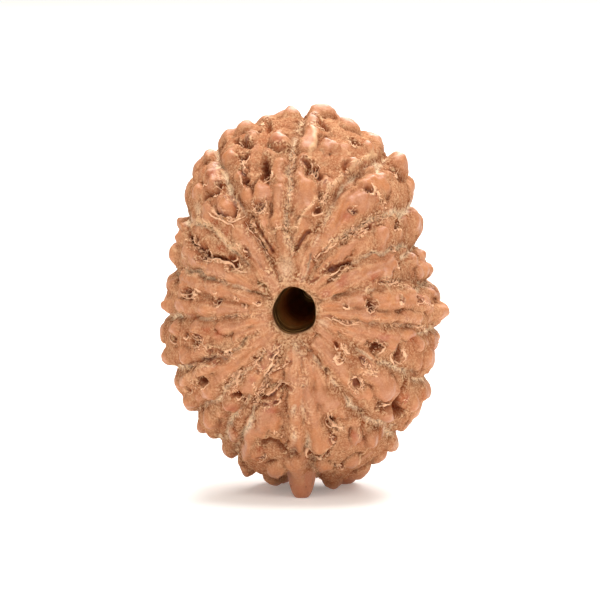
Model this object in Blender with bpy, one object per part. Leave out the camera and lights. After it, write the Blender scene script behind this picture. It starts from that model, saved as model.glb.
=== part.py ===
# Rudraksha bead: one woody fruit stone with about eighteen faces, standing on edge with its bore level.
# The form starts as a torus. Each of its points is read as two angles and laid on an oval bead round the
# bore, and the relief is then raised from that smooth form by a formula. Lengths are in millimetres until
# the last step, which writes metres.

import math

import bpy
import numpy as np

# The smooth form under the relief
half_depth = 12.3           # from the middle of the bead to the flat of a face, along the bore
profile_power = 2.35        # 2 is an ellipse, more is squarer
nodule_stand = 0.85         # the smooth form lies this far inside the tips on the outline
outline_smoothing = 13.0    # degrees of bearing that the smooth outline is averaged over

# The bore
front_mouth = 2.17
front_mouth_stretch = 0.045
front_mouth_waves = ((3, 0.025, 6.0), (5, 0.02, 4.8))     # count round the mouth, share of the radius, phase
back_mouth = 1.0
bore_waist = 1.5
mouth_rounding = 0.5
mouth_rounding_reach = 0.4
mouth_calm = 0.75           # share of the relief that is lost right beside a mouth
mouth_calm_reach = 1.1
bore_unevenness = 0.05      # share of its radius
bore_unevenness_size = 1.8

# Where the bead rests
axis_height = 18.6          # height of the bore's axis when the bead stands on its three low nodules
colour = (0.578, 0.223, 0.115, 1.0)
roughness = 0.62

# The direction that the bearings below are read from: a little to the right of the bore and above it
side_turn = math.radians(5.0)
rise = math.radians(6.0)
eye_distance = 450.0

bearing_steps = 400
profile_steps = 168
skin_share = 0.88           # share of the profile's steps on the outer skin, the rest being in the bore
decimate_share = 0.134
seed = 18

# Tips of the nodules on the outline: bearing clockwise from the top round the bore's mouth, distance from
# the mouth's middle, half width, and how far behind the widest section of the bead the tip stands
tips = (
    (359.5, 19.95, 0.75, 0.6), (7.5, 20.3, 1.25, 1.0), (16.5, 19.3, 1.0, -0.6), (26.5, 18.9, 0.95, 1.2),
    (35.5, 18.45, 1.1, -1.2), (43.5, 16.7, 0.9, 0.8), (53, 15.2, 1.25, -0.6), (66.5, 13.75, 0.7, 0.4),
    (72, 13.7, 0.7, -0.9), (81.5, 14.05, 0.65, 0.9), (90.5, 15.05, 0.75, -0.4), (94.4, 14.3, 0.5, 1.6),
    (102, 14.35, 0.9, 0.5), (109, 14.4, 0.95, -0.9), (120.5, 15.5, 0.8, 0.6), (129, 15.6, 1.0, -0.3),
    (136, 15.8, 0.7, 1.0), (142.9, 16.7, 0.65, -0.4), (149.5, 16.8, 1.0, 0.8), (158, 17.35, 1.2, -0.8),
    (167, 17.6, 0.9, 0.4), (187, 16.9, 0.9, 0.6), (196.6, 16.6, 0.75, -0.6), (204.5, 15.55, 0.9, 0.6),
    (213.5, 14.7, 0.75, -0.9), (219, 14.8, 0.75, 0.7), (229, 14.0, 0.85, 0.2), (238, 13.45, 0.8, -0.8),
    (250, 13.7, 0.95, 0.5), (261.5, 13.1, 0.95, -0.5), (272.5, 12.9, 0.75, 0.6), (283.5, 12.6, 0.85, -0.6),
    (295.5, 13.4, 0.9, 0.4), (304.5, 13.5, 0.75, -0.8), (308.8, 14.5, 0.6, 0.9), (319, 15.8, 1.1, -0.5),
    (327, 17.25, 1.0, 0.8), (331.8, 17.85, 0.7, -0.8), (339, 18.65, 1.1, 0.5), (345, 18.95, 0.9, -0.6),
    (352, 19.15, 0.9, 0.9),
)

# Clefts between the faces, from the bore outwards, as bearing and distance
clefts = (
    ((352, 4.8), (355, 5.1), (359, 5.8), (356, 8), (356.5, 10), (358, 12), (359, 14), (360, 16), (361.5, 18),
     (363, 19.4)),
    ((16, 3), (18, 8), (20, 11.5), (21, 12.8), (24, 14.5), (27, 16), (29, 16.8), (30.5, 17.8)),
    ((17, 3.2), (18, 4.7), (22, 5.6), (26, 6.8), (30, 7.7), (34, 8.8), (38, 10.4), (41, 11.8), (43, 13),
     (45, 14), (47.5, 14.8)),
    ((50, 7), (53, 9.4), (56, 10.3), (57, 11.5), (59, 12.7), (61.3, 13.3)),
    ((67, 3.3), (68, 5), (70, 6), (72, 7), (74, 8), (73, 9.1), (74, 10.3), (76, 11), (77, 12.9)),
    ((98, 3.2), (100, 4.5), (101, 5.5), (100, 6.5), (99, 8), (98, 9), (97, 10), (97, 11.5), (96.5, 13.6)),
    ((114, 4.8), (119, 5.5), (120.5, 7.5), (120, 9.5), (119, 11), (118, 12.3), (116.5, 13.6)),
    ((165, 3), (158, 4.1), (155, 4.3), (152, 6), (150, 8), (149, 10), (147.5, 11), (146, 12.3),
     (145, 13.2), (142, 13.9), (139.5, 15.1)),
    ((175, 3.6), (167, 4.1), (174, 9), (173.5, 12), (173, 13.9), (171.5, 16.4)),
    ((180, 9), (180, 13.5), (181.3, 16.5)),
    ((203, 3.5), (200.5, 4.8), (202, 6), (201, 7), (203, 8.5), (202, 9.7), (201.5, 11), (202, 12.5),
     (203, 14.2), (200.5, 15.2)),
    ((207, 9), (209, 11), (209.5, 12.5), (208.5, 14), (210, 14.7)),
    ((217, 4.5), (217, 5.5), (218, 7.8), (222.5, 9.7), (221.5, 10.6), (221, 11.3), (222.5, 12.5),
     (223.7, 13.3)),
    ((240, 4), (238, 6), (237, 7.2), (235, 8), (239, 8.2), (241.5, 9.2), (242, 10.5), (243, 12), (244.5, 12.5)),
    ((265.5, 3.3), (266, 5), (265.5, 8), (267, 10), (267, 11), (268.5, 11.9)),
    ((303, 3), (296, 5), (294, 6.5), (292.5, 8), (291.5, 9), (292, 10.6), (290.5, 11.8)),
    ((309, 3), (314, 6), (316, 9), (315, 11.8), (312.5, 12.6), (313, 14.1)),
    ((338, 3), (337, 4.8), (335, 6.3), (333.5, 7), (332, 8.2), (333.5, 10.5), (332.5, 12), (332.5, 13.5),
     (333.5, 15), (335, 17.3)),
)
cleft_depth = 0.85          # at the edge of the bead
cleft_width = 0.46
cleft_start = 0.5           # share of both beside the mouth, where a cleft is shallow and narrow
cleft_opening = (4.0, 9.0)  # it opens from this distance from the bore's axis, over this length
cleft_bottom = 0.12         # rounding of its bottom

# Shorter cracks inside the faces: bearing and distance of their points, then half width and depth
cracks = (
    (((363, 6.2), (366, 7.1), (368.5, 7.8), (370.5, 7.9)), 0.24, 0.65),
    (((30, 3.3), (33, 4), (36, 4.9), (40, 5.5)), 0.18, 0.45),
    (((40, 5.5), (45, 6.3), (49, 7.3)), 0.30, 0.8),
    (((20, 5.2), (26, 6.6)), 0.20, 0.5),
    (((37, 9.3), (40, 10.1), (42, 11)), 0.26, 0.7),
    (((331, 9.8), (333.5, 8), (335.5, 6.5)), 0.20, 0.6),
    (((336, 10), (338, 8), (340, 6.2)), 0.20, 0.6),
    (((341.5, 17.2), (343, 17.3), (344.3, 17.0)), 0.36, 0.8),
    (((340.7, 15.6), (343, 15.7)), 0.26, 0.6),
    (((339.6, 14.6), (340.5, 13.7), (340.5, 12.9)), 0.24, 0.7),
    (((349.6, 14.8), (349.2, 13.4)), 0.32, 0.9),
    (((4.8, 14.6), (7.8, 14.0), (11.9, 13.1)), 0.34, 0.9),
    (((19.2, 15.2), (20.1, 14.1)), 0.26, 0.6),
    (((6.5, 18.9), (8.5, 18.4), (10, 17.9)), 0.34, 0.8),
    (((348.5, 18.4), (350, 18.7), (352, 18.5)), 0.24, 0.6),
    (((306.5, 12.5), (304.6, 11.9)), 0.36, 0.8),
    (((303.9, 11), (303.4, 10)), 0.46, 0.8),
    (((303.4, 10), (304.6, 9.1), (308, 8.2), (309.8, 7.5)), 0.20, 0.7),
    (((309.8, 7.6), (307.6, 6.9)), 0.30, 0.6),
    (((341.6, 17.5), (343.5, 16.9), (345.3, 16.5)), 0.30, 0.7),
    (((351.9, 18.9), (352.6, 17.6)), 0.28, 0.6),
    (((235, 8), (238, 8.2), (241, 9.2), (242.5, 10.5), (244.5, 12.2)), 0.24, 0.6),
    (((240, 7.8), (243.5, 8.3), (244.8, 9)), 0.20, 0.5),
    (((71, 8.8), (74, 10.2), (76, 10.9)), 0.18, 0.5),
    (((182, 4.8), (187, 4.8), (191, 5.2), (196, 5.9), (200, 6.1)), 0.20, 0.45),
    (((181, 7.2), (189, 7.1), (192, 7.6), (195, 8.3), (199, 8.7), (203, 8.8)), 0.25, 0.6),
    (((211, 6.5), (216, 6.3), (220, 6.4)), 0.22, 0.5),
    (((205, 3.5), (201, 5), (202, 6.2), (199.5, 7), (203, 8.5), (204, 9.5)), 0.20, 0.5),
    (((122.5, 12.8), (127, 12.9), (131, 13.1), (134, 13.5), (133.5, 14.4)), 0.36, 0.9),
    (((134.5, 12.9), (137, 12.5), (139.5, 12.2)), 0.24, 0.6),
    (((108, 10.5), (110.5, 11), (113.5, 10.9), (117, 11.2)), 0.34, 0.9),
    (((183, 13.4), (186, 12.8), (190, 12.5), (193, 12.9)), 0.32, 0.7),
    (((323, 12), (325, 11.2), (328.5, 10.8), (331.5, 11.3), (332, 12.6)), 0.24, 0.6),
    (((322.5, 13.9), (325, 13.6), (327, 13.4), (329.5, 13.9)), 0.28, 0.6),
    (((165.5, 13.5), (169, 14.2), (173, 14)), 0.20, 0.5),
    (((145, 12.4), (147.5, 12.9), (150, 13)), 0.24, 0.5),
    (((209.5, 9.8), (213, 9.5), (216.5, 9.9)), 0.24, 0.6),
)

# Soft grooves that part the ridges of a face: bearing and distance of their points, then half width and depth
soft_grooves = (
    (((305, 3), (310, 5.2)), 0.30, 0.22), (((278, 3), (281, 5), (278, 7), (281, 9)), 0.32, 0.22),
    (((252, 3), (249.5, 5), (252, 7), (250, 8.7)), 0.32, 0.22), (((63, 3), (66, 5), (69, 7)), 0.40, 0.30),
    (((84, 3), (87, 5), (84.5, 7), (89, 9), (90, 11)), 0.32, 0.22), (((344, 4), (348, 6), (347, 7.6)), 0.35, 0.3),
    (((133, 3.5), (136, 5), (132, 7.4), (133, 9.6)), 0.32, 0.22), (((347, 9), (346, 11), (349, 13)), 0.35, 0.3),
    (((217, 3), (214, 5)), 0.30, 0.25), (((235, 3), (233, 5), (229, 7.5), (233, 9.5)), 0.35, 0.25),
    (((268, 7.5), (266, 9.5), (269, 11)), 0.30, 0.3), (((25, 8.3), (27.5, 10), (26, 12), (29, 13.5)), 0.35, 0.35),
    (((60, 8), (63, 9.5), (61.5, 11.5)), 0.35, 0.3), (((109, 5.5), (107, 8), (105.5, 10)), 0.32, 0.25),
    (((152, 5), (146, 7), (146, 9)), 0.32, 0.25), (((166, 6), (165, 9), (166.5, 12)), 0.38, 0.35),
    (((186, 8.8), (187, 11), (185, 12.3)), 0.34, 0.3), (((212, 11), (214, 12.5), (212.5, 14)), 0.34, 0.4),
    (((329, 8.4), (327, 9.6)), 0.30, 0.3), (((12, 12.8), (10.5, 15), (12.5, 17.5)), 0.35, 0.3),
)

# Smooth bars and ridges: bearing and distance of their points, then half width and height
bars = (
    (((349.5, 6), (350.5, 7.5)), 0.5, 0.35),
    (((351, 8.6), (352, 10.2), (353, 11.8)), 0.72, 0.7),
    (((354.3, 13), (355, 14.2)), 0.8, 0.7),
    (((362, 13), (363.5, 15)), 0.75, 0.5),
    (((364.5, 16), (365.5, 17.5), (366, 19)), 0.8, 0.55),
    (((366, 7), (366.5, 8.5)), 0.75, 0.4),
    (((365.5, 10.4), (365, 12)), 1.15, 0.6),
    (((180, 14.5), (178.6, 15.7), (177.3, 16.8)), 0.9, 0.8),
    (((12, 3), (16, 5.5), (20, 8)), 0.6, 0.35),
    (((30, 3), (35, 6)), 0.5, 0.35),
    (((40, 3), (40, 6), (41, 9)), 0.6, 0.4),
    (((58, 3.5), (60, 7), (64, 10.5)), 0.8, 0.45),
    (((78, 3), (79, 7)), 0.7, 0.4),
    (((91, 3), (93, 8), (93, 12)), 0.7, 0.4),
    (((105, 6), (105, 10)), 0.8, 0.45),
    (((107, 3), (111, 5), (112, 7)), 0.6, 0.35),
    (((124, 3), (127, 4.5)), 0.5, 0.3),
    (((142, 4), (142, 7), (141, 10)), 0.8, 0.45),
    (((160, 5), (161, 8.5)), 0.8, 0.5),
    (((171, 4.5), (172, 7), (170.5, 10), (170, 13.2)), 1.1, 0.8),
    (((180, 4), (178.5, 8), (178.5, 10), (178.5, 13)), 0.85, 0.75),
    (((193, 8), (195, 10), (196, 12)), 0.8, 0.4),
    (((201, 11.5), (199, 13.5), (198, 15.5)), 0.6, 0.6),
    (((210.5, 4), (211, 6), (210.5, 8.5)), 0.9, 0.55),
    (((228, 3), (229, 6), (229, 9)), 0.9, 0.5),
    (((237.5, 8.9), (238, 12.5)), 0.6, 0.55),
    (((245, 3), (246, 6)), 0.6, 0.35),
    (((258, 3), (258, 7)), 0.7, 0.45),
    (((272, 3), (272, 7), (273, 11)), 0.75, 0.5),
    (((287, 4), (287, 7), (287, 10.8)), 0.8, 0.5),
    (((298.5, 5), (298, 8), (298, 11)), 0.75, 0.45),
    (((325, 3), (326, 6), (326, 9)), 0.9, 0.5),
    (((341.5, 9), (342.5, 10.8)), 0.7, 0.35),
    (((330, 14.6), (331.5, 16.4)), 0.75, 0.55),
)

# Nodules of the front: bearing, distance, half width, half length outwards, height
nodules = (
    (355.5, 16.5, 1.05, 1.3, 0.8), (22, 15.3, 0.85, 0.9, 0.6), (25, 17.3, 0.8, 0.8, 0.6),
    (32, 12.3, 1.3, 1.1, 0.7), (31, 14.7, 0.8, 0.8, 0.6), (36, 14.8, 0.85, 0.8, 0.6),
    (12, 16.3, 1.0, 1.2, 0.6), (15, 12.6, 0.8, 1.1, 0.5), (46.8, 15.7, 0.6, 0.6, 0.4),
    (49, 11.3, 0.9, 1.2, 0.5), (53, 14.4, 1.3, 0.9, 0.7), (66, 12.5, 0.9, 0.9, 0.6),
    (72, 12.6, 0.7, 0.9, 0.5), (68, 9.6, 0.8, 1.0, 0.5), (80, 9.2, 0.9, 1.2, 0.22),
    (81.5, 13.3, 0.7, 0.9, 0.6), (90.5, 13.6, 0.9, 1.3, 0.9), (101, 11.3, 0.5, 1.8, 0.4),
    (104, 12.3, 0.9, 0.9, 0.7), (109, 13.4, 1.1, 1.0, 0.7), (109, 9.9, 0.8, 0.9, 0.4),
    (130, 11.4, 1.3, 1.4, 0.8), (127, 14.3, 1.1, 0.9, 0.7), (138.5, 13.4, 0.9, 1.2, 0.7),
    (148, 14.2, 1.0, 1.1, 0.7), (139, 10.4, 0.8, 0.9, 0.4), (153, 13.2, 0.8, 1.0, 0.6),
    (158, 15.3, 1.1, 1.0, 0.6), (169, 15.1, 1.0, 0.9, 0.6), (158, 9.6, 0.9, 0.9, 0.5),
    (165, 12.9, 0.7, 0.8, 0.4), (186, 15.2, 1.1, 1.5, 0.8), (190, 10.8, 0.9, 1.1, 0.6),
    (194, 14.2, 0.8, 0.9, 0.5), (206, 13.2, 0.9, 1.0, 0.6), (214.5, 10.8, 0.9, 1.0, 0.6),
    (218, 13.1, 1.1, 0.9, 0.7), (227, 11.3, 0.9, 1.0, 0.5), (229, 13.1, 0.9, 0.8, 0.6),
    (239, 12.9, 0.8, 0.7, 0.5), (248.5, 11.0, 0.9, 0.9, 0.7), (250, 12.9, 0.9, 0.8, 0.6),
    (262.5, 11.4, 0.9, 0.9, 0.6), (262, 9.4, 0.8, 0.9, 0.4), (273, 11.9, 0.8, 0.8, 0.5),
    (283.5, 11.9, 0.9, 0.8, 0.6), (288, 11.2, 0.7, 0.7, 0.4), (295, 12.4, 1.0, 0.9, 0.7),
    (299, 11.6, 0.7, 0.9, 0.5), (304, 12.9, 0.8, 0.8, 0.6), (309, 13.4, 0.8, 0.8, 0.6),
    (319, 12.6, 0.8, 1.2, 0.4), (321, 14.6, 1.0, 1.0, 0.6), (327.5, 11.9, 1.2, 1.35, 0.62),
    (327, 14.3, 0.8, 0.8, 0.5), (344.7, 11.7, 0.95, 1.2, 0.6), (337.5, 16, 0.9, 1.1, 0.6),
    (338, 12.1, 0.8, 1.0, 0.5), (346, 17.2, 0.9, 1.0, 0.6), (339, 14.2, 0.7, 0.8, 0.4),
)

# Pits of the front: bearing, distance, half width, half length outwards, depth
pits = (
    (12.5, 10.0, 0.45, 0.4, 0.7), (8.5, 13.9, 0.75, 0.5, 0.9), (8.5, 18.2, 0.45, 0.4, 0.5),
    (20, 17.4, 0.6, 0.45, 0.7), (32, 13.6, 0.5, 0.35, 0.6), (35, 16.5, 0.5, 0.5, 0.8),
    (50.5, 13.0, 0.5, 0.5, 0.8), (57, 11.5, 0.45, 0.4, 0.6), (66, 11.1, 0.45, 0.4, 0.6),
    (85, 7.4, 0.75, 0.6, 0.8), (85, 12.0, 0.45, 0.4, 0.6), (112, 8.7, 0.55, 0.5, 0.8),
    (113.5, 11.1, 0.95, 0.5, 0.9), (125, 8.0, 0.45, 0.4, 0.6), (137.5, 9.0, 0.5, 0.5, 0.5),
    (137, 12.0, 0.4, 0.35, 0.5), (161, 11.0, 0.6, 0.5, 0.7), (163, 12.7, 0.35, 0.3, 0.5),
    (173, 13.9, 0.5, 0.4, 0.7), (192.5, 14.2, 0.5, 0.4, 0.5), (213, 9.6, 0.5, 0.35, 0.6),
    (232.5, 11.0, 0.6, 0.5, 0.8), (254, 9.7, 0.7, 0.7, 0.5), (258, 11.8, 0.4, 0.6, 0.6),
    (278, 7.3, 0.5, 0.45, 0.6), (279.5, 10.1, 0.55, 0.45, 0.7), (303.5, 10.2, 0.65, 0.55, 0.9),
    (308, 7.3, 0.55, 0.5, 0.7), (306, 12.1, 0.45, 0.4, 0.6), (327, 13.4, 0.4, 0.35, 0.5),
    (340.8, 10.6, 0.6, 0.6, 0.7), (340.5, 13.3, 0.5, 0.5, 0.8), (349, 13.6, 0.5, 1.0, 0.9),
    (342.5, 15.5, 0.5, 0.4, 0.6), (348.5, 17.6, 0.45, 0.4, 0.6), (221, 8.3, 0.45, 0.4, 0.5),
)

# How the forms rise and sink
low_swells = ((0.16, 3.4, 1), (0.10, 1.5, 2))     # height, length over which it varies, and the pattern's number
cleft_reach = 2.4           # nothing of a cleft, crack or soft groove is felt beyond these distances
crack_reach = 1.5
groove_reach = 1.0
bar_reach = 1.4             # in half widths
tip_spread = 1.25           # a tip's nodule is this much wider than the tip itself
tip_length = 1.9
bar_power = 0.5             # less than 1 makes a form's sides steeper and its top flatter
dome_power = 0.7
nodule_share = 1.15
pit_share = 0.75
ground_level = -0.06
wobble = 0.24               # how unevenly a form is drawn in and let out round its edge
wobble_size = 0.65
swell = (0.9, 0.4, 1.7)     # a bar's height: its middle share, how much it varies and over what length

# The back, which the photo doesn't show: clefts that wander a little, and rows of nodules between them
back_cleft_drift = math.radians(1.1)
back_cleft_end = 0.96       # share of the way to the back mouth
side_cleft_end = 0.3        # how far a cleft is drawn on from its last read place towards the front
two_rows_from = math.radians(16)
row_lean = 0.1              # how far a row's nodules stray, in shares of the face's width
row_end = 0.9
row_width = 0.55            # half width of a nodule, in shares of its row's width
widest = 1.4
width_share = (0.8, 1.1)
back_length = (0.9, 1.6)
back_height = (0.45, 0.95)
back_flattening = 0.5       # share of the height lost towards the mouth
row_start = (0.03, 0.09)
row_step = (0.075, 0.12)

# Three low nodules that carry the bead: across, along the bore, half width, half length, lowest height, and
# how blunt the end is
feet = ((0.15, -5.1, 1.3, 1.6, -0.13, 3.5), (-2.9, 4.4, 2.1, 2.5, -0.16, 2.4), (3.5, 4.5, 2.0, 2.4, -0.16, 2.4))
foot_drop = 1.9             # how far a foot's side rises over its own half width
foot_blend = 0.22           # rounding where a foot leaves the skin
feet_under = -0.6           # feet reach no higher than this share of the axis's height below the axis
along_shift = 0.14          # puts the middle of the bead's length along the bore at y = 0
floor_block = (20.0, 20.0, 3.0)


def reading_origin():
    # Where the middle of the bore's mouth is seen, from the middle of the bead
    closer = 1.0 / (1.0 - half_depth / eye_distance)
    across = -half_depth * math.sin(side_turn) * closer
    upwards = -half_depth * math.cos(side_turn) * math.sin(rise) * closer
    return across, upwards


def seen_plane(bearing, distance):
    # A bearing and a distance, turned into a place across and upwards of the middle of the bead
    across, upwards = reading_origin()
    angle = np.radians(bearing)
    return across + distance * np.sin(angle), upwards + distance * np.cos(angle)


def tip_places():
    table = np.array(tips)
    across, upwards = seen_plane(table[:, 0], table[:, 1])
    y = table[:, 3]
    x = (across - y * math.sin(side_turn)) / math.cos(side_turn)
    z = (upwards + x * math.sin(side_turn) * math.sin(rise)) / math.cos(rise)
    z -= y * math.cos(side_turn) * math.tan(rise)
    return x, y, z, table[:, 2]


def outline_radius(angle):
    # The smooth outline: an average of the tips' distances, each weighted by how near its bearing is
    x, y, z, width = tip_places()
    tip_angle = np.arctan2(x, z)
    reach = np.hypot(x, z)
    gap = (angle[..., None] - tip_angle + math.pi) % (2 * math.pi) - math.pi
    weight = np.exp(-(gap / math.radians(outline_smoothing)) ** 2)
    return (weight * reach).sum(-1) / weight.sum(-1) - nodule_stand


def mouth_radius(angle, back):
    front = 1 + front_mouth_stretch * np.cos(2 * angle)
    for count, share, phase in front_mouth_waves:
        front = front + share * np.cos(count * angle - phase)
    return np.where(back, back_mouth, front_mouth * front)


def skin_depth(angle, distance, back):
    # How far from the middle section the smooth skin lies, at a distance from the bore's axis
    mouth = mouth_radius(angle, back)
    share = np.clip((distance - mouth) / (outline_radius(angle) - mouth), 0.0, 0.9995)
    return half_depth * (1 - share ** profile_power) ** (1 / profile_power)


def on_skin(bearing, distance):
    # Follows the line of sight through a read place to the smooth skin
    across, upwards = seen_plane(np.asarray(bearing, float), np.asarray(distance, float))
    y = np.full(across.shape, -half_depth)
    x = across.copy()
    z = upwards.copy()
    for _ in range(60):
        nearer = x * math.sin(side_turn) * math.cos(rise) - y * math.cos(side_turn) * math.cos(rise)
        nearer = nearer + z * math.sin(rise)
        shrink = 1 - nearer / eye_distance
        x = (across * shrink - y * math.sin(side_turn)) / math.cos(side_turn)
        level = upwards * shrink + x * math.sin(side_turn) * math.sin(rise)
        z = (level - y * math.cos(side_turn) * math.sin(rise)) / math.cos(rise)
        wanted = -skin_depth(np.arctan2(x, z), np.hypot(x, z), False)
        y = 0.7 * y + 0.3 * wanted
    return np.stack([x, y, z], -1)


def skin_point(angle, y_share, back):
    # A place on the smooth skin, by its angle round the bore and its share of the way to the mouth
    mouth = mouth_radius(angle, back)
    turn = y_share * math.pi / 2
    distance = mouth + (outline_radius(angle) - mouth) * np.cos(turn) ** (2 / profile_power)
    y = half_depth * np.sin(turn) ** (2 / profile_power)
    y = np.where(back, y, -y)
    return np.stack([distance * np.sin(angle), y, distance * np.cos(angle)], -1)


def outward(points):
    # Direction that the relief is raised in: square to the smooth skin
    angle = np.arctan2(points[:, 0], points[:, 2])
    distance = np.hypot(points[:, 0], points[:, 2])
    back = points[:, 1] > 0
    mouth = mouth_radius(angle, back)
    span = outline_radius(angle) - mouth
    share = np.clip((distance - mouth) / span, 0.0, 1.0)
    radial = share ** (profile_power - 1) / span
    deep = np.clip(np.abs(points[:, 1]) / half_depth, 0.0, 1.0)
    axial = np.sign(points[:, 1]) * deep ** (profile_power - 1) / half_depth
    direction = np.stack([radial * np.sin(angle), axial, radial * np.cos(angle)], -1)
    return direction / np.linalg.norm(direction, axis=1, keepdims=True)


def smooth_noise(points, size, salt):
    # Random values at the corners of a lattice, blended smoothly in between
    cells = points / size
    low = np.floor(cells).astype(np.int64)
    part = cells - low
    blend = part ** 3 * (part * (part * 6 - 15) + 10)
    total = np.zeros(len(points))
    for corner in range(8):
        step = np.array([(corner >> k) & 1 for k in range(3)])
        at = low + step
        mixed = at[:, 0] * 73856093 ^ at[:, 1] * 19349663 ^ at[:, 2] * 83492791 ^ salt * 9176263
        mixed = (mixed ^ (mixed >> 13)) * 1274126177
        mixed = mixed ^ (mixed >> 16)
        value = (mixed & 65535) / 32767.5 - 1
        total += value * np.where(step, blend, 1 - blend).prod(axis=1)
    return total


def path_gap(points, path, reach):
    # Distance from each point to a path of straight pieces, up to the reach
    low = path.min(axis=0) - reach
    high = path.max(axis=0) + reach
    near = np.nonzero(((points > low) & (points < high)).all(axis=1))[0]
    gap = np.full(len(near), reach)
    for start, end in zip(path[:-1], path[1:]):
        along = end - start
        share = np.clip((points[near] - start) @ along / max(along @ along, 1e-9), 0, 1)
        gap = np.minimum(gap, np.linalg.norm(points[near] - start - share[:, None] * along, axis=1))
    return near, gap


def spot_gap(points, place, half_width, half_length):
    # Distance from a place, counted in half widths round the bore and half lengths outwards
    reach = 1.6 * max(half_width, half_length)
    near = np.nonzero((np.abs(points - place) < reach).all(axis=1))[0]
    offset = points[near] - place
    round_bore = np.array([place[2], 0.0, -place[0]])
    round_bore /= np.linalg.norm(round_bore)
    sideways = offset @ round_bore
    lengthways = np.sqrt(np.maximum((offset ** 2).sum(axis=1) - sideways ** 2, 0))
    return near, np.hypot(sideways / half_width, lengthways / half_length)


def rise_over(height, near, value):
    height[near] = np.maximum(height[near], value)


def back_cleft_paths(generator):
    # Every cleft runs on over the edge of the bead to the mouth at the back
    paths = []
    angles = []
    for cleft in clefts:
        across, upwards = seen_plane(*cleft[-1])
        angle = math.atan2(across, upwards)
        angles.append(angle)
        share = np.linspace(0.0, back_cleft_end, 9)
        drift = generator.uniform(-1, 1, 9).cumsum() * back_cleft_drift
        paths.append(skin_point(angle + drift, share, True))
        side = np.linspace(0.0, side_cleft_end, 4)
        paths.append(skin_point(np.full(4, angle), side, False))
    return paths, sorted(a % (2 * math.pi) for a in angles)


def back_nodules(angles, generator):
    # Two rows of nodules on each face, from the edge of the bead to the mouth at the back
    placed = []
    for first, second in zip(angles, angles[1:] + [angles[0] + 2 * math.pi]):
        width = second - first
        rows = 2 if width > two_rows_from else 1
        for row in range(rows):
            share = generator.uniform(*row_start)
            while share < row_end:
                lean = (row + 0.5) / rows + generator.uniform(-row_lean, row_lean)
                angle = first + width * lean
                place = skin_point(np.array([angle]), np.array([share]), True)[0]
                across = np.hypot(place[0], place[2]) * width / rows * row_width
                half_width = min(across, widest) * generator.uniform(*width_share)
                half_length = generator.uniform(*back_length)
                height = generator.uniform(*back_height) * (1 - back_flattening * share)
                placed.append((place, half_width, half_length, height))
                share += generator.uniform(*row_step)
    return placed


def relief(points):
    # Height of the relief over the smooth skin at each point
    generator = np.random.default_rng(seed)
    height = np.full(len(points), ground_level)
    for share, size, salt in low_swells:
        height += share * smooth_noise(points, size, salt)
    uneven = 1 + wobble * smooth_noise(points, wobble_size, 9)
    middle, variation, length = swell
    bar_share = middle + variation * smooth_noise(points, length, 10)
    for path, half_width, rise_by in bars:
        near, gap = path_gap(points, on_skin(*np.array(path, float).T), bar_reach * half_width)
        dome = np.clip(1 - (gap * uneven[near] / half_width) ** 2, 0, 1)
        rise_over(height, near, rise_by * bar_share[near] * dome ** bar_power)
    spots = []
    for bearing, distance, half_width, half_length, rise_by in nodules:
        spots.append((on_skin([bearing], [distance])[0], half_width, half_length, nodule_share * rise_by))
    back_paths, angles = back_cleft_paths(generator)
    spots += back_nodules(angles, generator)
    x, y, z, width = tip_places()
    reach = np.hypot(x, z)
    base = outline_radius(np.arctan2(x, z))
    for i in range(len(x)):
        place = np.array([x[i] * base[i] / reach[i], y[i], z[i] * base[i] / reach[i]])
        spots.append((place, width[i] * tip_spread, tip_length, reach[i] - base[i]))
    for place, half_width, half_length, rise_by in spots:
        near, gap = spot_gap(points, place, half_width, half_length)
        dome = np.clip(1 - (gap * uneven[near]) ** 2, 0, 1)
        rise_over(height, near, rise_by * dome ** dome_power)
    groove = np.zeros(len(points))
    opens_at, opens_over = cleft_opening
    outwards = np.clip((np.hypot(points[:, 0], points[:, 2]) - opens_at) / opens_over, 0, 1)
    depth = cleft_depth * (cleft_start + (1 - cleft_start) * outwards ** 2)
    width = cleft_width * (cleft_start + (1 - cleft_start) * outwards) * uneven
    for path in [on_skin(*np.array(cleft, float).T) for cleft in clefts] + back_paths:
        near, gap = path_gap(points, path, cleft_reach)
        gap = np.hypot(gap, cleft_bottom) - cleft_bottom
        rise_over(groove, near, depth[near] * np.exp(-gap / width[near]))
    for path, half_width, sunk in soft_grooves:
        near, gap = path_gap(points, on_skin(*np.array(path, float).T), groove_reach)
        rise_over(groove, near, sunk * np.exp(-(gap * uneven[near] / half_width) ** 2))
    for path, half_width, sunk in cracks:
        near, gap = path_gap(points, on_skin(*np.array(path, float).T), crack_reach)
        rise_over(groove, near, sunk * np.exp(-(gap * uneven[near] / half_width) ** 3))
    for bearing, distance, half_width, half_length, sunk in pits:
        near, gap = spot_gap(points, on_skin([bearing], [distance])[0], half_width, half_length)
        rise_over(groove, near, pit_share * sunk * np.exp(-gap ** 4))
    return height - groove


def shaped(points):
    # The relief raised from the smooth skin, less of it beside the mouths, and the mouths' edges rounded
    distance = np.hypot(points[:, 0], points[:, 2])
    angle = np.arctan2(points[:, 0], points[:, 2])
    from_mouth = distance - mouth_radius(angle, points[:, 1] > 0)
    fade = 1 - mouth_calm * np.exp(-from_mouth / mouth_calm_reach)
    raised = points + outward(points) * (relief(points) * fade)[:, None]
    raised[:, 1] -= np.sign(points[:, 1]) * mouth_rounding * np.exp(-from_mouth / mouth_rounding_reach)
    return raised


def add_feet(points):
    # The three low nodules are drawn down a little past the level that the bead stands on
    floor = -axis_height
    for across, along, half_width, half_length, lowest, power in feet:
        gap = np.hypot((points[:, 0] - across) / half_width, (points[:, 1] - along) / half_length)
        over = points[:, 2] - floor - lowest - foot_drop * gap ** power
        lowered = foot_blend * np.logaddexp(0, over / foot_blend)
        under = points[:, 2] < feet_under * axis_height
        points[:, 2] -= np.where(under, lowered, 0)
    return points


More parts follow.
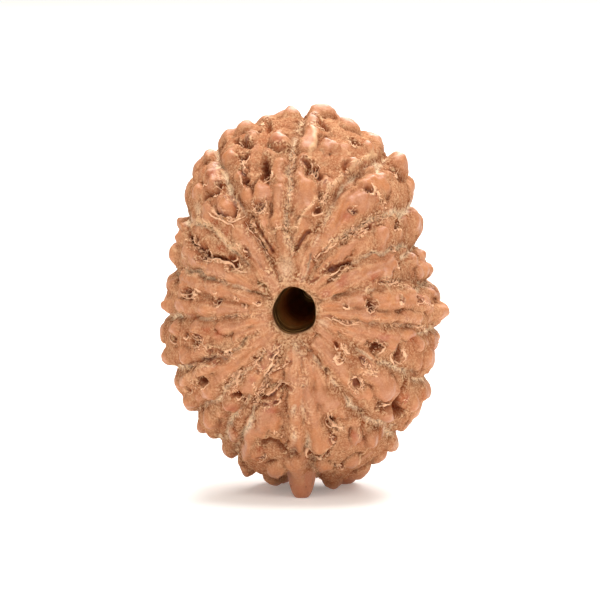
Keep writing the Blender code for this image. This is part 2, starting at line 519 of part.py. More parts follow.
def bore_points(angle, share):
    # The bore's wall, from the front mouth at share 0 to the back mouth at share 1
    front_y = -half_depth + mouth_rounding
    back_y = half_depth - mouth_rounding
    mouths = mouth_radius(angle, False) * (1 - share) + back_mouth * share
    waist = np.sin(math.pi * np.clip(share, 0, 1))
    radius = mouths + (bore_waist - (front_mouth + back_mouth) / 2) * waist
    y = front_y + (back_y - front_y) * share
    wall = np.stack([radius * np.sin(angle), y, radius * np.cos(angle)], -1)
    rough = 1 + bore_unevenness * smooth_noise(wall, bore_unevenness_size, 7) * waist
    wall[:, 0] *= rough
    wall[:, 2] *= rough
    return wall


def build_bead():
    bpy.ops.mesh.primitive_torus_add(
        major_segments=bearing_steps, minor_segments=profile_steps, major_radius=1.0, minor_radius=0.5)
    bead = bpy.context.object
    bead.name = "bead"
    bead.data.name = "bead"
    start = np.empty(len(bead.data.vertices) * 3)
    bead.data.vertices.foreach_get("co", start)
    start = start.reshape(-1, 3)
    angle = np.arctan2(-start[:, 0], start[:, 1])
    turn = np.arctan2(start[:, 2], np.hypot(start[:, 0], start[:, 1]) - 1.0) / math.pi
    back = turn > 0
    skin = np.abs(turn) <= skin_share
    places = np.empty(start.shape)
    share = np.clip(np.abs(turn) / skin_share, 0, 1)
    places[skin] = shaped(skin_point(angle[skin], share[skin], back[skin]))
    bore = ~skin
    left = (1 - np.abs(turn[bore])) / (1 - skin_share) / 2
    places[bore] = bore_points(angle[bore], np.where(back[bore], 0.5 + left, 0.5 - left))
    places = add_feet(places)
    places += np.array([0.0, along_shift, axis_height])
    bead.data.vertices.foreach_set("co", (places / 1000).ravel())
    bead.data.update()
    return bead


def grouped(name, members):
    group = bpy.data.collections.new(name)
    bpy.context.scene.collection.children.link(group)
    for member in members:
        for other in list(member.users_collection):
            other.objects.unlink(member)
        group.objects.link(member)


def add_floor_cutter():
    # Its top is the level that the bead stands on
    bpy.ops.mesh.primitive_cube_add(size=1.0, location=(0, 0, -floor_block[2] / 2000))
    cutter = bpy.context.object
    cutter.name = "floor_cutter"
    cutter.scale = [side / 1000 for side in floor_block]
    cutter.hide_render = True
    cutter.display_type = "WIRE"
    return cutter


def shell_material():
    material = bpy.data.materials.new("Rudraksha shell")
    material.use_nodes = True
    shader = material.node_tree.nodes["Principled BSDF"]
    shader.inputs["Base Color"].default_value = colour
    shader.inputs["Roughness"].default_value = roughness
    shader.inputs["Metallic"].default_value = 0.0
    return material


def main():
    for old in list(bpy.data.objects):
        bpy.data.objects.remove(old, do_unlink=True)
    bead = build_bead()
    bead.data.materials.append(shell_material())
    fewer = bead.modifiers.new("Fewer faces", "DECIMATE")
    fewer.ratio = decimate_share
    cutter = add_floor_cutter()
    flat = bead.modifiers.new("Flat rest spots", "BOOLEAN")
    flat.operation = "DIFFERENCE"
    flat.solver = "EXACT"
    flat.object = cutter
    grouped("Rudraksha bead", [bead])
    grouped("Cutters", [cutter])


main()
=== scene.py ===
# Rudraksha bead, as it looks: the woody stone with its knobbly faces, dusty clefts and dark pits, the pale
# crumbs of dried pulp left in them, and the fibres in its bore. Lengths are in millimetres until a mesh is
# made.
import math

import bpy
import numpy as np
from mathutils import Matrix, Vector


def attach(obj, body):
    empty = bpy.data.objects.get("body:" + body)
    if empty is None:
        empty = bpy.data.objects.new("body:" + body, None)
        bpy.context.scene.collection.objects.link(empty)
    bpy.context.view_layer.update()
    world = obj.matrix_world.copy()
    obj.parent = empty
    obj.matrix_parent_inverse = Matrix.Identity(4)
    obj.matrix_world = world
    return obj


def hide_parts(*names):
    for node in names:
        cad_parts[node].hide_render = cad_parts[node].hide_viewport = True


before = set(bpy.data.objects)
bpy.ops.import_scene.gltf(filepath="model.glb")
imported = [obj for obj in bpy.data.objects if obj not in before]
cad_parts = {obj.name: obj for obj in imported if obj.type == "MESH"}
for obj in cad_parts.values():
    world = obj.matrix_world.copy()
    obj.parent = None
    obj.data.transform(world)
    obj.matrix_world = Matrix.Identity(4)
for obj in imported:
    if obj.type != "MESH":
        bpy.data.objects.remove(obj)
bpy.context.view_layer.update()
print("frame loaded")

# The smooth form under the relief, as the solid has it
beadForm = {
    "halfDepth": 12.3,          # from the middle of the bead to the flat of a face, along the bore
    "profilePower": 2.35,       # 2 is an ellipse, more is squarer
    "noduleStand": 0.85,        # the smooth form lies this far inside the tips on the outline
    "outlineSmoothing": 13.0,   # degrees of bearing
    "frontMouth": 2.17,
    "mouthStretch": 0.045,      # the front mouth is higher by this share, and as much narrower
    "mouthWaves": ((3, 0.025, 6.0), (5, 0.02, 4.8)),    # count round the mouth, share of the radius, phase
    "backMouth": 1.0,
    "boreWaist": 1.5,
    "mouthRounding": 0.5,       # how far the edge of a mouth is worn back
    "mouthReach": 0.4,
    "mouthCalm": 0.75,          # share of the relief that is lost beside a mouth
    "calmReach": 1.1,
    "axisHeight": 18.6,
    "alongShift": 0.14,
    "feet": (                   # across, along the bore, half width, half length, lowest height, bluntness
        (0.15, -5.1, 1.3, 1.6, -0.13, 3.5),
        (-2.9, 4.4, 2.1, 2.5, -0.16, 2.4),
        (3.5, 4.5, 2.0, 2.4, -0.16, 2.4),
    ),
    "footDrop": 1.9,            # how much higher a foot is at its edge than at its lowest
    "footBlend": 0.22,          # how softly it runs into the bead above it
    "feetUnder": 0.6,           # only what hangs this share of the axis height under the axis is drawn down
    "cleftDepth": 0.75,         # at the edge of the bead
    "cleftWidth": 0.46,
    "cleftStart": 0.5,          # share of both beside the mouth, where a cleft starts shallow and narrow
    "seed": 18,
}

# The bearings below are read from a little to the right of the bore and above it
reading = {
    "sideTurn": math.radians(5.0),
    "rise": math.radians(6.0),
    "eyeDistance": 450.0,
    "steps": 60,                # along the line of sight, until it meets the skin
    "stride": 0.3,              # share of the way that is left, at each step
}

# Tips on the outline: bearing clockwise from the top, distance from the mouth's middle, half width, and how
# far the tip lies behind the bead's middle
tips = (
    (359.5, 19.95, 0.75, 0.6), (7.5, 20.3, 1.25, 1.0), (16.5, 19.3, 1.0, -0.6), (26.5, 18.9, 0.95, 1.2),
    (35.5, 18.45, 1.1, -1.2), (43.5, 16.7, 0.9, 0.8), (53, 15.2, 1.25, -0.6), (66.5, 13.75, 0.7, 0.4),
    (72, 13.7, 0.7, -0.9), (81.5, 14.05, 0.65, 0.9), (90.5, 15.05, 0.75, -0.4), (94.4, 14.3, 0.5, 1.6),
    (102, 14.35, 0.9, 0.5), (109, 14.4, 0.95, -0.9), (120.5, 15.5, 0.8, 0.6), (129, 15.6, 1.0, -0.3),
    (136, 15.8, 0.7, 1.0), (142.9, 16.7, 0.65, -0.4), (149.5, 16.8, 1.0, 0.8), (158, 17.35, 1.2, -0.8),
    (167, 17.6, 0.9, 0.4), (187, 16.9, 0.9, 0.6), (196.6, 16.6, 0.75, -0.6), (204.5, 15.55, 0.9, 0.6),
    (213.5, 14.7, 0.75, -0.9), (219, 14.8, 0.75, 0.7), (229, 14.0, 0.85, 0.2), (238, 13.45, 0.8, -0.8),
    (250, 13.7, 0.95, 0.5), (261.5, 13.1, 0.95, -0.5), (272.5, 12.9, 0.75, 0.6), (283.5, 12.6, 0.85, -0.6),
    (295.5, 13.4, 0.9, 0.4), (304.5, 13.5, 0.75, -0.8), (308.8, 14.5, 0.6, 0.9), (319, 15.8, 1.1, -0.5),
    (327, 17.25, 1.0, 0.8), (331.8, 17.85, 0.7, -0.8), (339, 18.65, 1.1, 0.5), (345, 18.95, 0.9, -0.6),
    (352, 19.15, 0.9, 0.9),
)

# Clefts between the faces, from the bore outwards, as bearing and distance
clefts = (
    ((352, 4.8), (355, 5.1), (359, 5.8), (356, 8), (356.5, 10), (358, 12), (359, 14), (360, 16), (361.5, 18),
     (363, 19.4)),
    ((16, 3), (18, 8), (20, 11.5), (21, 12.8), (24, 14.5), (27, 16), (29, 16.8), (30.5, 17.8)),
    ((17, 3.2), (18, 4.7), (22, 5.6), (26, 6.8), (30, 7.7), (34, 8.8), (38, 10.4), (41, 11.8), (43, 13),
     (45, 14), (47.5, 14.8)),
    ((50, 7), (53, 9.4), (56, 10.3), (57, 11.5), (59, 12.7), (61.3, 13.3)),
    ((67, 3.3), (68, 5), (70, 6), (72, 7), (74, 8), (73, 9.1), (74, 10.3), (76, 11), (77, 12.9)),
    ((98, 3.2), (100, 4.5), (101, 5.5), (100, 6.5), (99, 8), (98, 9), (97, 10), (97, 11.5), (96.5, 13.6)),
    ((114, 4.8), (119, 5.5), (120.5, 7.5), (120, 9.5), (119, 11), (118, 12.3), (116.5, 13.6)),
    ((165, 3), (158, 4.1), (155, 4.3), (152, 6), (150, 8), (149, 10), (147.5, 11), (146, 12.3),
     (145, 13.2), (142, 13.9), (139.5, 15.1)),
    ((175, 3.6), (167, 4.1), (174, 9), (173.5, 12), (173, 13.9), (171.5, 16.4)),
    ((180, 9), (180, 13.5), (181.3, 16.5)),
    ((203, 3.5), (200.5, 4.8), (202, 6), (201, 7), (203, 8.5), (202, 9.7), (201.5, 11), (202, 12.5),
     (203, 14.2), (200.5, 15.2)),
    ((207, 9), (209, 11), (209.5, 12.5), (208.5, 14), (210, 14.7)),
    ((217, 4.5), (217, 5.5), (218, 7.8), (222.5, 9.7), (221.5, 10.6), (221, 11.3), (222.5, 12.5),
     (223.7, 13.3)),
    ((240, 4), (238, 6), (237, 7.2), (235, 8), (239, 8.2), (241.5, 9.2), (242, 10.5), (243, 12),
     (244.5, 12.5)),
    ((265.5, 3.3), (266, 5), (265.5, 8), (267, 10), (267, 11), (268.5, 11.9)),
    ((303, 3), (296, 5), (294, 6.5), (292.5, 8), (291.5, 9), (292, 10.6), (290.5, 11.8)),
    ((309, 3), (314, 6), (316, 9), (315, 11.8), (312.5, 12.6), (313, 14.1)),
    ((338, 3), (337, 4.8), (335, 6.3), (333.5, 7), (332, 8.2), (333.5, 10.5), (332.5, 12), (332.5, 13.5),
     (333.5, 15), (335, 17.3)),
)

# Cracks inside the faces: points as bearing and distance, then half width, depth and how dark they are, in
# red-brown with painted shade
cracks = (
    (((363, 6.2), (366, 7.1), (368.5, 7.8), (370.5, 7.9)), 0.24, 0.65, 0.9),
    (((354, 4.5), (357, 5), (360, 5.5), (363, 6.2)), 0.13, 0.35, 0.8),
    (((336, 3.4), (337.5, 4.4), (337, 5.2), (336, 6.4)), 0.13, 0.35, 0.8),
    (((362.5, 3.2), (365, 3.8), (363, 4.4), (361, 5)), 0.11, 0.25, 0.6),
    (((17, 3.2), (20, 4.3), (22, 5.1)), 0.13, 0.30, 0.8),
    (((98, 2.9), (99, 4), (100, 5), (101.5, 6.6)), 0.13, 0.30, 0.8),
    (((172, 2.95), (165, 3.6), (156, 4.7)), 0.12, 0.30, 0.7),
    (((185, 3), (183, 3.6)), 0.11, 0.25, 0.6),
    (((30, 3.3), (33, 4), (36, 4.9), (40, 5.5)), 0.18, 0.45, 0.7),
    (((40, 5.5), (45, 6.3), (49, 7.3)), 0.30, 0.8, 1.0),
    (((47, 4.5), (49, 5.5), (49, 6.5), (49.5, 7.2)), 0.16, 0.4, 0.7),
    (((20, 5.2), (26, 6.6)), 0.20, 0.5, 0.8),
    (((37, 9.3), (40, 10.1), (42, 11)), 0.26, 0.7, 1.0),
    (((331, 9.8), (333.5, 8), (335.5, 6.5)), 0.20, 0.6, 1.0),
    (((336, 10), (338, 8), (340, 6.2)), 0.20, 0.6, 1.0),
    (((322, 7.6), (321, 6.7)), 0.16, 0.4, 0.8),
    (((321, 6.6), (330, 4.5)), 0.12, 0.25, 0.4),
    (((341.5, 17.2), (343, 17.3), (344.3, 17.0)), 0.36, 0.8, 1.0),
    (((340.7, 15.6), (343, 15.7)), 0.26, 0.6, 1.0),
    (((339.6, 14.6), (340.5, 13.7), (340.5, 12.9)), 0.24, 0.7, 1.0),
    (((349.6, 14.8), (349.2, 13.4)), 0.32, 0.9, 1.0),
    (((4.8, 14.6), (7.8, 14.0), (11.9, 13.1)), 0.34, 0.9, 1.0),
    (((19.2, 15.2), (20.1, 14.1)), 0.26, 0.6, 0.8),
    (((6.5, 18.9), (8.5, 18.4), (10, 17.9)), 0.34, 0.8, 1.0),
    (((348.5, 18.4), (350, 18.7), (352, 18.5)), 0.24, 0.6, 0.9),
    (((352.5, 15.9), (354.5, 15.6), (357, 15.9)), 0.20, 0.5, 0.8),
    (((306.5, 12.5), (304.6, 11.9)), 0.36, 0.8, 1.0),
    (((304.6, 11.9), (303.9, 11.2)), 0.22, 0.6, 0.9),
    (((303.9, 11), (303.4, 10)), 0.46, 0.8, 1.0),
    (((303.4, 10), (304.6, 9.1), (308, 8.2), (309.8, 7.5)), 0.20, 0.7, 1.0),
    (((309.8, 7.6), (307.6, 6.9)), 0.30, 0.6, 0.9),
    (((341.6, 17.5), (343.5, 16.9), (345.3, 16.5)), 0.30, 0.7, 0.9),
    (((351.9, 18.9), (352.6, 17.6)), 0.28, 0.6, 0.8),
    (((235, 8), (238, 8.2), (241, 9.2), (242.5, 10.5), (244.5, 12.2)), 0.24, 0.6, 0.9),
    (((240, 7.8), (243.5, 8.3), (244.8, 9)), 0.20, 0.5, 0.9),
    (((71, 8.8), (74, 10.2), (76, 10.9)), 0.18, 0.5, 0.9),
    (((182, 4.8), (187, 4.8), (191, 5.2), (196, 5.9), (200, 6.1)), 0.20, 0.45, 0.8),
    (((181, 7.2), (189, 7.1), (192, 7.6), (195, 8.3), (199, 8.7), (203, 8.8)), 0.25, 0.6, 1.0),
    (((196, 9.2), (202, 9.7)), 0.20, 0.4, 0.8),
    (((211, 6.5), (216, 6.3), (220, 6.4)), 0.22, 0.5, 0.9),
    (((205, 3.5), (201, 5), (202, 6.2), (199.5, 7), (203, 8.5), (204, 9.5)), 0.20, 0.5, 0.8),
    (((122.5, 12.8), (127, 12.9), (131, 13.1), (134, 13.5), (133.5, 14.4)), 0.46, 1.0, 1.0),
    (((134.5, 12.9), (137, 12.5), (139.5, 12.2)), 0.24, 0.6, 0.9),
    (((108, 10.5), (110.5, 11), (113.5, 10.9), (117, 11.2)), 0.34, 0.9, 1.0),
    (((183, 13.4), (186, 12.8), (190, 12.5), (193, 12.9)), 0.32, 0.7, 0.6),
    (((323, 12), (325, 11.2), (328.5, 10.8), (331.5, 11.3), (332, 12.6)), 0.24, 0.6, 0.9),
    (((322.5, 13.9), (325, 13.6), (327, 13.4), (329.5, 13.9)), 0.28, 0.6, 0.9),
    (((165.5, 13.5), (169, 14.2), (173, 14)), 0.20, 0.5, 0.8),
    (((163.5, 12.3), (163, 13.2)), 0.18, 0.45, 0.8),
    (((145, 12.4), (147.5, 12.9), (150, 13)), 0.24, 0.5, 0.6),
    (((209.5, 9.8), (213, 9.5), (216.5, 9.9)), 0.24, 0.6, 0.9),
)

# Soft grooves that part the ridges of a face: points as bearing and distance, then half width and depth
softGrooves = (
    (((305, 3), (310, 5.2)), 0.30, 0.22),
    (((278, 3), (281, 5), (278, 7), (281, 9)), 0.32, 0.22),
    (((252, 3), (249.5, 5), (252, 7), (250, 8.7)), 0.32, 0.22),
    (((63, 3), (66, 5), (69, 7)), 0.40, 0.30),
    (((84, 3), (87, 5), (84.5, 7), (89, 9), (90, 11)), 0.32, 0.22),
    (((344, 4), (348, 6), (347, 7.6)), 0.35, 0.3),
    (((133, 3.5), (136, 5), (132, 7.4), (133, 9.6)), 0.32, 0.22),
    (((347, 9), (346, 11), (349, 13)), 0.35, 0.3),
    (((217, 3), (214, 5)), 0.30, 0.25),
    (((235, 3), (233, 5), (229, 7.5), (233, 9.5)), 0.35, 0.25),
    (((268, 7.5), (266, 9.5), (269, 11)), 0.30, 0.3),
    (((25, 8.3), (27.5, 10), (26, 12), (29, 13.5)), 0.35, 0.35),
    (((60, 8), (63, 9.5), (61.5, 11.5)), 0.35, 0.3),
    (((109, 5.5), (107, 8), (105.5, 10)), 0.32, 0.25),
    (((152, 5), (146, 7), (146, 9)), 0.32, 0.25),
    (((166, 6), (165, 9), (166.5, 12)), 0.38, 0.35),
    (((186, 8.8), (187, 11), (185, 12.3)), 0.34, 0.3),
    (((212, 11), (214, 12.5), (212.5, 14)), 0.34, 0.4),
    (((329, 8.4), (327, 9.6)), 0.30, 0.3),
    (((12, 12.8), (10.5, 15), (12.5, 17.5)), 0.35, 0.3),
)

# Thin lips of pale dried pulp: points as bearing and distance, then half width and height
lips = (
    (((363, 8.5), (366, 9.6), (369, 10.2), (371, 11.3)), 0.16, 0.16),
    (((343, 7.8), (349, 7.9), (353, 8.2), (362, 8.2)), 0.16, 0.14),
    (((16, 12.2), (19, 13.6), (22, 15), (25.5, 16.6), (28, 17.3)), 0.26, 0.16),
    (((320, 8), (317, 9), (316, 11.5), (313.5, 13)), 0.34, 0.16),
    (((6.5, 15), (7, 16.5), (6, 18)), 0.24, 0.12),
    (((165, 13.2), (168, 13.9), (172, 13.7)), 0.14, 0.20),
    (((151.5, 14.9), (156, 15.3)), 0.15, 0.16),
    (((36.5, 8.9), (39.5, 9.6), (42.5, 10.5)), 0.16, 0.22),
    (((304.5, 12.3), (303, 10.6), (302, 9.6), (304, 8.3)), 0.18, 0.22),
    (((334, 9.6), (335.7, 8), (337.5, 6.6)), 0.16, 0.14),
    (((50.5, 5), (51, 6.2), (51, 7.2)), 0.14, 0.18),
    (((321.5, 12.4), (323.5, 11), (328, 10.3), (332.5, 10.9)), 0.16, 0.24),
    (((290.5, 10), (291, 11.7)), 0.25, 0.10),
    (((236, 9), (239.5, 9.6), (241, 11)), 0.14, 0.14),
)

# Redder places, where the outer skin is left: bearing, distance and half width
blushes = (
    (57, 5.4, 0.8), (60, 3.6, 0.6), (66, 8.3, 0.8), (320, 10, 0.7), (312, 9.2, 0.6), (319, 11.5, 0.6),
    (255, 7.5, 0.9), (259, 8.5, 0.7), (310, 9.4, 0.6), (105, 9, 0.8), (128, 13.4, 1.1), (210.5, 4.5, 0.5),
    (210.5, 6, 0.5), (210.5, 7.5, 0.5), (8.5, 18.4, 0.8), (348, 17.6, 0.6), (85, 12.3, 0.8), (128, 5.2, 0.5),
    (355, 16.2, 0.7), (193, 9.6, 0.8), (213, 10.8, 0.8), (237, 8.9, 0.6), (329, 15.2, 0.8), (36, 13.5, 0.6),
    (30, 10.3, 0.8), (207, 12.6, 0.6), (193, 13.6, 0.7), (154, 12.8, 0.6), (103, 11.6, 0.8), (343, 15.4, 0.5),
)

# Smooth bars and ridges: points as bearing and distance, then half width and height
bars = (
    (((349.5, 6), (350.5, 7.5)), 0.5, 0.35),
    (((351, 8.6), (352, 10.2), (353, 11.8)), 0.72, 0.7),
    (((354.3, 13), (355, 14.2)), 0.8, 0.7),
    (((362, 13), (363.5, 15)), 0.75, 0.5),
    (((364.5, 16), (365.5, 17.5), (366, 19)), 0.8, 0.55),
    (((366, 7), (366.5, 8.5)), 0.75, 0.4),
    (((365.5, 10.4), (365, 12)), 1.15, 0.6),
    (((180, 14.5), (178.6, 15.7), (177.3, 16.8)), 0.9, 0.8),
    (((12, 3), (16, 5.5), (20, 8)), 0.6, 0.35),
    (((30, 3), (35, 6)), 0.5, 0.35),
    (((24, 8.2), (28, 11), (32, 13.6), (32.5, 15.3)), 1.45, 0.5),
    (((82, 8.2), (84, 10.5), (86.5, 13)), 0.95, 0.32),
    (((40, 3), (40, 6), (41, 9)), 0.6, 0.4),
    (((58, 3.5), (60, 7), (64, 10.5)), 0.8, 0.45),
    (((78, 3), (79, 7)), 0.7, 0.4),
    (((91, 3), (93, 8), (93, 12)), 0.7, 0.4),
    (((105, 6), (105, 10)), 0.8, 0.45),
    (((107, 3), (111, 5), (112, 7)), 0.6, 0.35),
    (((124, 3), (127, 4.5)), 0.5, 0.3),
    (((125, 8.6), (129, 11.8)), 1.2, 0.6),
    (((142, 4), (142, 7), (141, 10)), 0.8, 0.45),
    (((160, 5), (161, 8.5)), 0.8, 0.5),
    (((171, 4.5), (172, 7), (170.5, 10), (170, 13.2)), 1.1, 0.8),
    (((180, 4), (178.5, 8), (178.5, 10), (178.5, 13)), 0.85, 0.75),
    (((193, 8), (195, 10), (196, 12)), 0.8, 0.4),
    (((201, 11.5), (199, 13.5), (198, 15.5)), 0.6, 0.6),
    (((210.5, 4), (211, 6), (210.5, 8.5)), 0.9, 0.55),
    (((228, 3), (229, 6), (229, 9)), 0.9, 0.5),
    (((237.5, 8.9), (238, 12.5)), 0.6, 0.55),
    (((245, 3), (246, 6)), 0.6, 0.35),
    (((258, 3), (258, 7)), 0.7, 0.45),
    (((272, 3), (272, 7), (273, 11)), 0.75, 0.5),
    (((287, 4), (287, 7), (287, 10.8)), 0.8, 0.5),
    (((298.5, 5), (298, 8), (298, 11)), 0.75, 0.45),
    (((325, 3), (326, 6), (326, 9)), 0.9, 0.5),
    (((341.5, 9), (342.5, 10.8)), 0.7, 0.35),
    (((330, 14.6), (331.5, 16.4)), 0.75, 0.55),
)

# Nodules of the front: bearing, distance, half width, half length outwards, height
nodules = (
    (355.5, 16.5, 1.05, 1.3, 0.8), (22, 15.3, 0.85, 0.9, 0.6), (25, 17.3, 0.8, 0.8, 0.6),
    (32, 12.3, 1.3, 1.1, 0.7), (31, 14.7, 0.8, 0.8, 0.6), (36, 14.8, 0.85, 0.8, 0.35),
    (12, 16.3, 1.0, 1.2, 0.6), (15, 12.6, 0.8, 1.1, 0.5), (46.8, 15.7, 0.6, 0.6, 0.4),
    (49, 11.3, 0.9, 1.2, 0.5), (53, 14.4, 1.3, 0.9, 0.7), (66, 12.5, 0.9, 0.9, 0.6),
    (72, 12.6, 0.7, 0.9, 0.5), (68, 9.6, 0.8, 1.0, 0.5),
    (81.5, 13.3, 0.7, 0.9, 0.6), (90.5, 13.6, 0.9, 1.3, 0.9), (101, 11.3, 0.5, 1.8, 0.4),
    (104, 12.3, 0.9, 0.9, 0.7), (109, 13.4, 1.1, 1.0, 0.7), (109, 9.9, 0.8, 0.9, 0.4),
    (130, 11.4, 1.3, 1.4, 0.8), (127, 14.3, 1.1, 0.9, 0.7), (138.5, 13.4, 0.9, 1.2, 0.7),
    (148, 14.2, 1.0, 1.1, 0.7), (139, 10.4, 0.8, 0.9, 0.4), (153, 13.2, 0.8, 1.0, 0.6),
    (158, 15.3, 1.1, 1.0, 0.6), (169, 15.1, 1.0, 0.9, 0.6), (158, 9.6, 0.9, 0.9, 0.5),
    (165, 12.9, 0.7, 0.8, 0.4), (186, 15.2, 1.1, 1.5, 0.8), (190, 10.8, 0.9, 1.1, 0.6),
    (194, 14.2, 0.8, 0.9, 0.5), (206, 13.2, 0.9, 1.0, 0.6), (214.5, 10.8, 0.9, 1.0, 0.6),
    (218, 13.1, 1.1, 0.9, 0.7), (227, 11.3, 0.9, 1.0, 0.5), (229, 13.1, 0.9, 0.8, 0.6),
    (239, 12.9, 0.8, 0.7, 0.5), (248.5, 11.0, 0.9, 0.9, 0.7), (250, 12.9, 0.9, 0.8, 0.6),
    (262.5, 11.4, 0.9, 0.9, 0.6), (262, 9.4, 0.8, 0.9, 0.4), (273, 11.9, 0.8, 0.8, 0.5),
    (283.5, 11.9, 0.9, 0.8, 0.6), (288, 11.2, 0.7, 0.7, 0.4), (295, 12.4, 1.0, 0.9, 0.7),
    (299, 11.6, 0.7, 0.9, 0.5), (304, 12.9, 0.8, 0.8, 0.6), (309, 13.4, 0.8, 0.8, 0.6),
    (319, 12.6, 0.8, 1.2, 0.4), (321, 14.6, 1.0, 1.0, 0.6), (327.5, 11.9, 1.2, 1.35, 0.62),
    (327, 14.3, 0.8, 0.8, 0.5), (344.7, 11.7, 0.95, 1.2, 0.6), (337.5, 16, 0.9, 1.1, 0.6),
    (338, 12.1, 0.8, 1.0, 0.5), (346, 17.2, 0.9, 1.0, 0.6), (339, 14.2, 0.7, 0.8, 0.4),
)

# Pits of the front: bearing, distance, half width, half length outwards, depth
pits = (
    (12.5, 10.0, 0.45, 0.4, 0.7), (8.5, 13.9, 0.75, 0.5, 0.9), (8.5, 18.2, 0.45, 0.4, 0.5),
    (20, 17.4, 0.6, 0.45, 0.7), (32, 13.6, 0.5, 0.35, 0.6), (35, 16.5, 0.5, 0.5, 0.8),
    (50.5, 13.0, 0.5, 0.5, 0.8), (57, 11.5, 0.45, 0.4, 0.6), (66, 11.1, 0.45, 0.4, 0.6),
    (85, 7.4, 0.75, 0.6, 0.8), (85, 12.0, 0.45, 0.4, 0.6), (112, 8.7, 0.55, 0.5, 0.8),
    (113.5, 11.1, 0.95, 0.5, 0.9), (125, 8.0, 0.45, 0.4, 0.6), (137.5, 9.0, 0.5, 0.5, 0.5),
    (137, 12.0, 0.4, 0.35, 0.5), (161, 11.0, 0.6, 0.5, 0.7), (163, 12.7, 0.35, 0.3, 0.5),
    (173, 13.9, 0.5, 0.4, 0.7), (192.5, 14.2, 0.5, 0.4, 0.5), (213, 9.6, 0.5, 0.35, 0.6),
    (232.5, 11.0, 0.6, 0.5, 0.8), (254, 9.7, 0.7, 0.7, 0.5), (258, 11.8, 0.4, 0.6, 0.6),
    (278, 7.3, 0.5, 0.45, 0.6), (279.5, 10.1, 0.55, 0.45, 0.7), (303.5, 10.2, 0.65, 0.55, 0.9),
    (308, 7.3, 0.55, 0.5, 0.7), (306, 12.1, 0.45, 0.4, 0.6), (327, 13.4, 0.4, 0.35, 0.5),
    (340.8, 10.6, 0.6, 0.6, 0.7), (340.5, 13.3, 0.5, 0.5, 0.8), (349, 13.6, 0.5, 1.0, 0.9),
    (342.5, 15.5, 0.5, 0.4, 0.6), (348.5, 17.6, 0.45, 0.4, 0.6), (221, 8.3, 0.45, 0.4, 0.5),
)

# Patches of pale sand: bearing, distance, half width and half length outwards
sandyPlaces = (
    (350, 4.2, 0.75, 1.5), (112, 3.1, 0.45, 0.6), (176, 3.2, 0.5, 0.5), (356, 7.0, 0.5, 1.0),
    (297, 11.8, 0.4, 1.2), (317, 13.5, 0.5, 1.2),
)

# Thin skins of pulp that curl up along the cracks: points as bearing and distance, then half width
ribbons = (
    (((302.4, 10.2), (303.3, 8.7), (306.7, 7.8), (305.8, 6.8), (305.1, 6.2), (310, 5.8)), 0.12),
    (((323.4, 12.9), (321.8, 12.2), (323.2, 11.4), (325.2, 10.6), (330.2, 10.2), (333.4, 10.5)), 0.11),
    (((319.5, 12.4), (321.2, 11.6), (323.1, 10.9), (324.8, 10.2), (326.2, 9.6)), 0.09),
    (((331, 9.9), (332, 8.5), (334.4, 7.1), (337.1, 5.8)), 0.07),
    (((340.5, 10.8), (342.3, 10), (339.3, 9.9)), 0.10),
    (((340.7, 15.5), (341.5, 14.9), (341.2, 14.4)), 0.10),
    (((6.5, 14.5), (8, 13.9), (9.5, 13.3)), 0.12),
    (((282.2, 10.3), (280.3, 9.7), (279.6, 9.2)), 0.12),
    (((283.4, 9.6), (281.6, 9.1)), 0.10),
    (((42.5, 4.8), (45.9, 5.8), (50.2, 7.1)), 0.08),
    (((22, 5.6), (25.1, 6.4), (30.4, 7.2), (34.1, 8)), 0.09),
    (((99.6, 3), (101, 4), (104.2, 5.2), (101.2, 6.5)), 0.06),
    (((131.5, 6.7), (136, 6.9), (140.5, 6.6), (139.5, 5.9), (134, 5.8), (131, 6.2)), 0.09),
    (((123.2, 5.5), (124.5, 6), (124.6, 6.7)), 0.12),
    (((202, 3.3), (203.3, 4.6), (203.4, 5.8), (202.9, 6.9)), 0.10),
    (((183, 4.9), (193, 5.4), (199.7, 6)), 0.10),
    (((183, 7.1), (189, 7), (194, 7.8), (199, 8.5)), 0.11),
    (((239.1, 6.8), (238.4, 7.8)), 0.13),
    (((220, 7.6), (221.4, 8.1), (219, 8.9)), 0.16),
    (((217.5, 5.3), (219.4, 5.7), (217.8, 6.5)), 0.13),
    (((138.9, 8.4), (135.9, 8.6), (133.2, 8.9), (134.5, 9.6), (138, 9.8)), 0.12),
    (((284.5, 5.5), (286.5, 5.3), (286, 4.9)), 0.07),
    (((288.5, 3.6), (286, 3.8), (284.5, 3.4)), 0.07),
    (((160, 10.4), (162, 11.1), (160, 11.8), (157, 12)), 0.13),
    (((31.6, 14.1), (33.8, 13.8), (36.5, 13.9)), 0.10),
    (((12.2, 10.7), (14, 11.2), (15.3, 12)), 0.12),
    (((9.8, 14.2), (8.5, 13.4), (7.2, 13.6)), 0.11),
    (((72.3, 8.8), (74.2, 9.8), (76.4, 10.9)), 0.12),
    (((83.6, 7.7), (85.2, 8.2), (87, 7.5)), 0.10),
    (((36.2, 9), (39, 9.8), (42, 11)), 0.11),
    (((109.3, 11.1), (112.2, 11.6), (115, 11.6)), 0.12),
    (((137.5, 12.6), (135.5, 12.3), (134, 12.6)), 0.12),
)

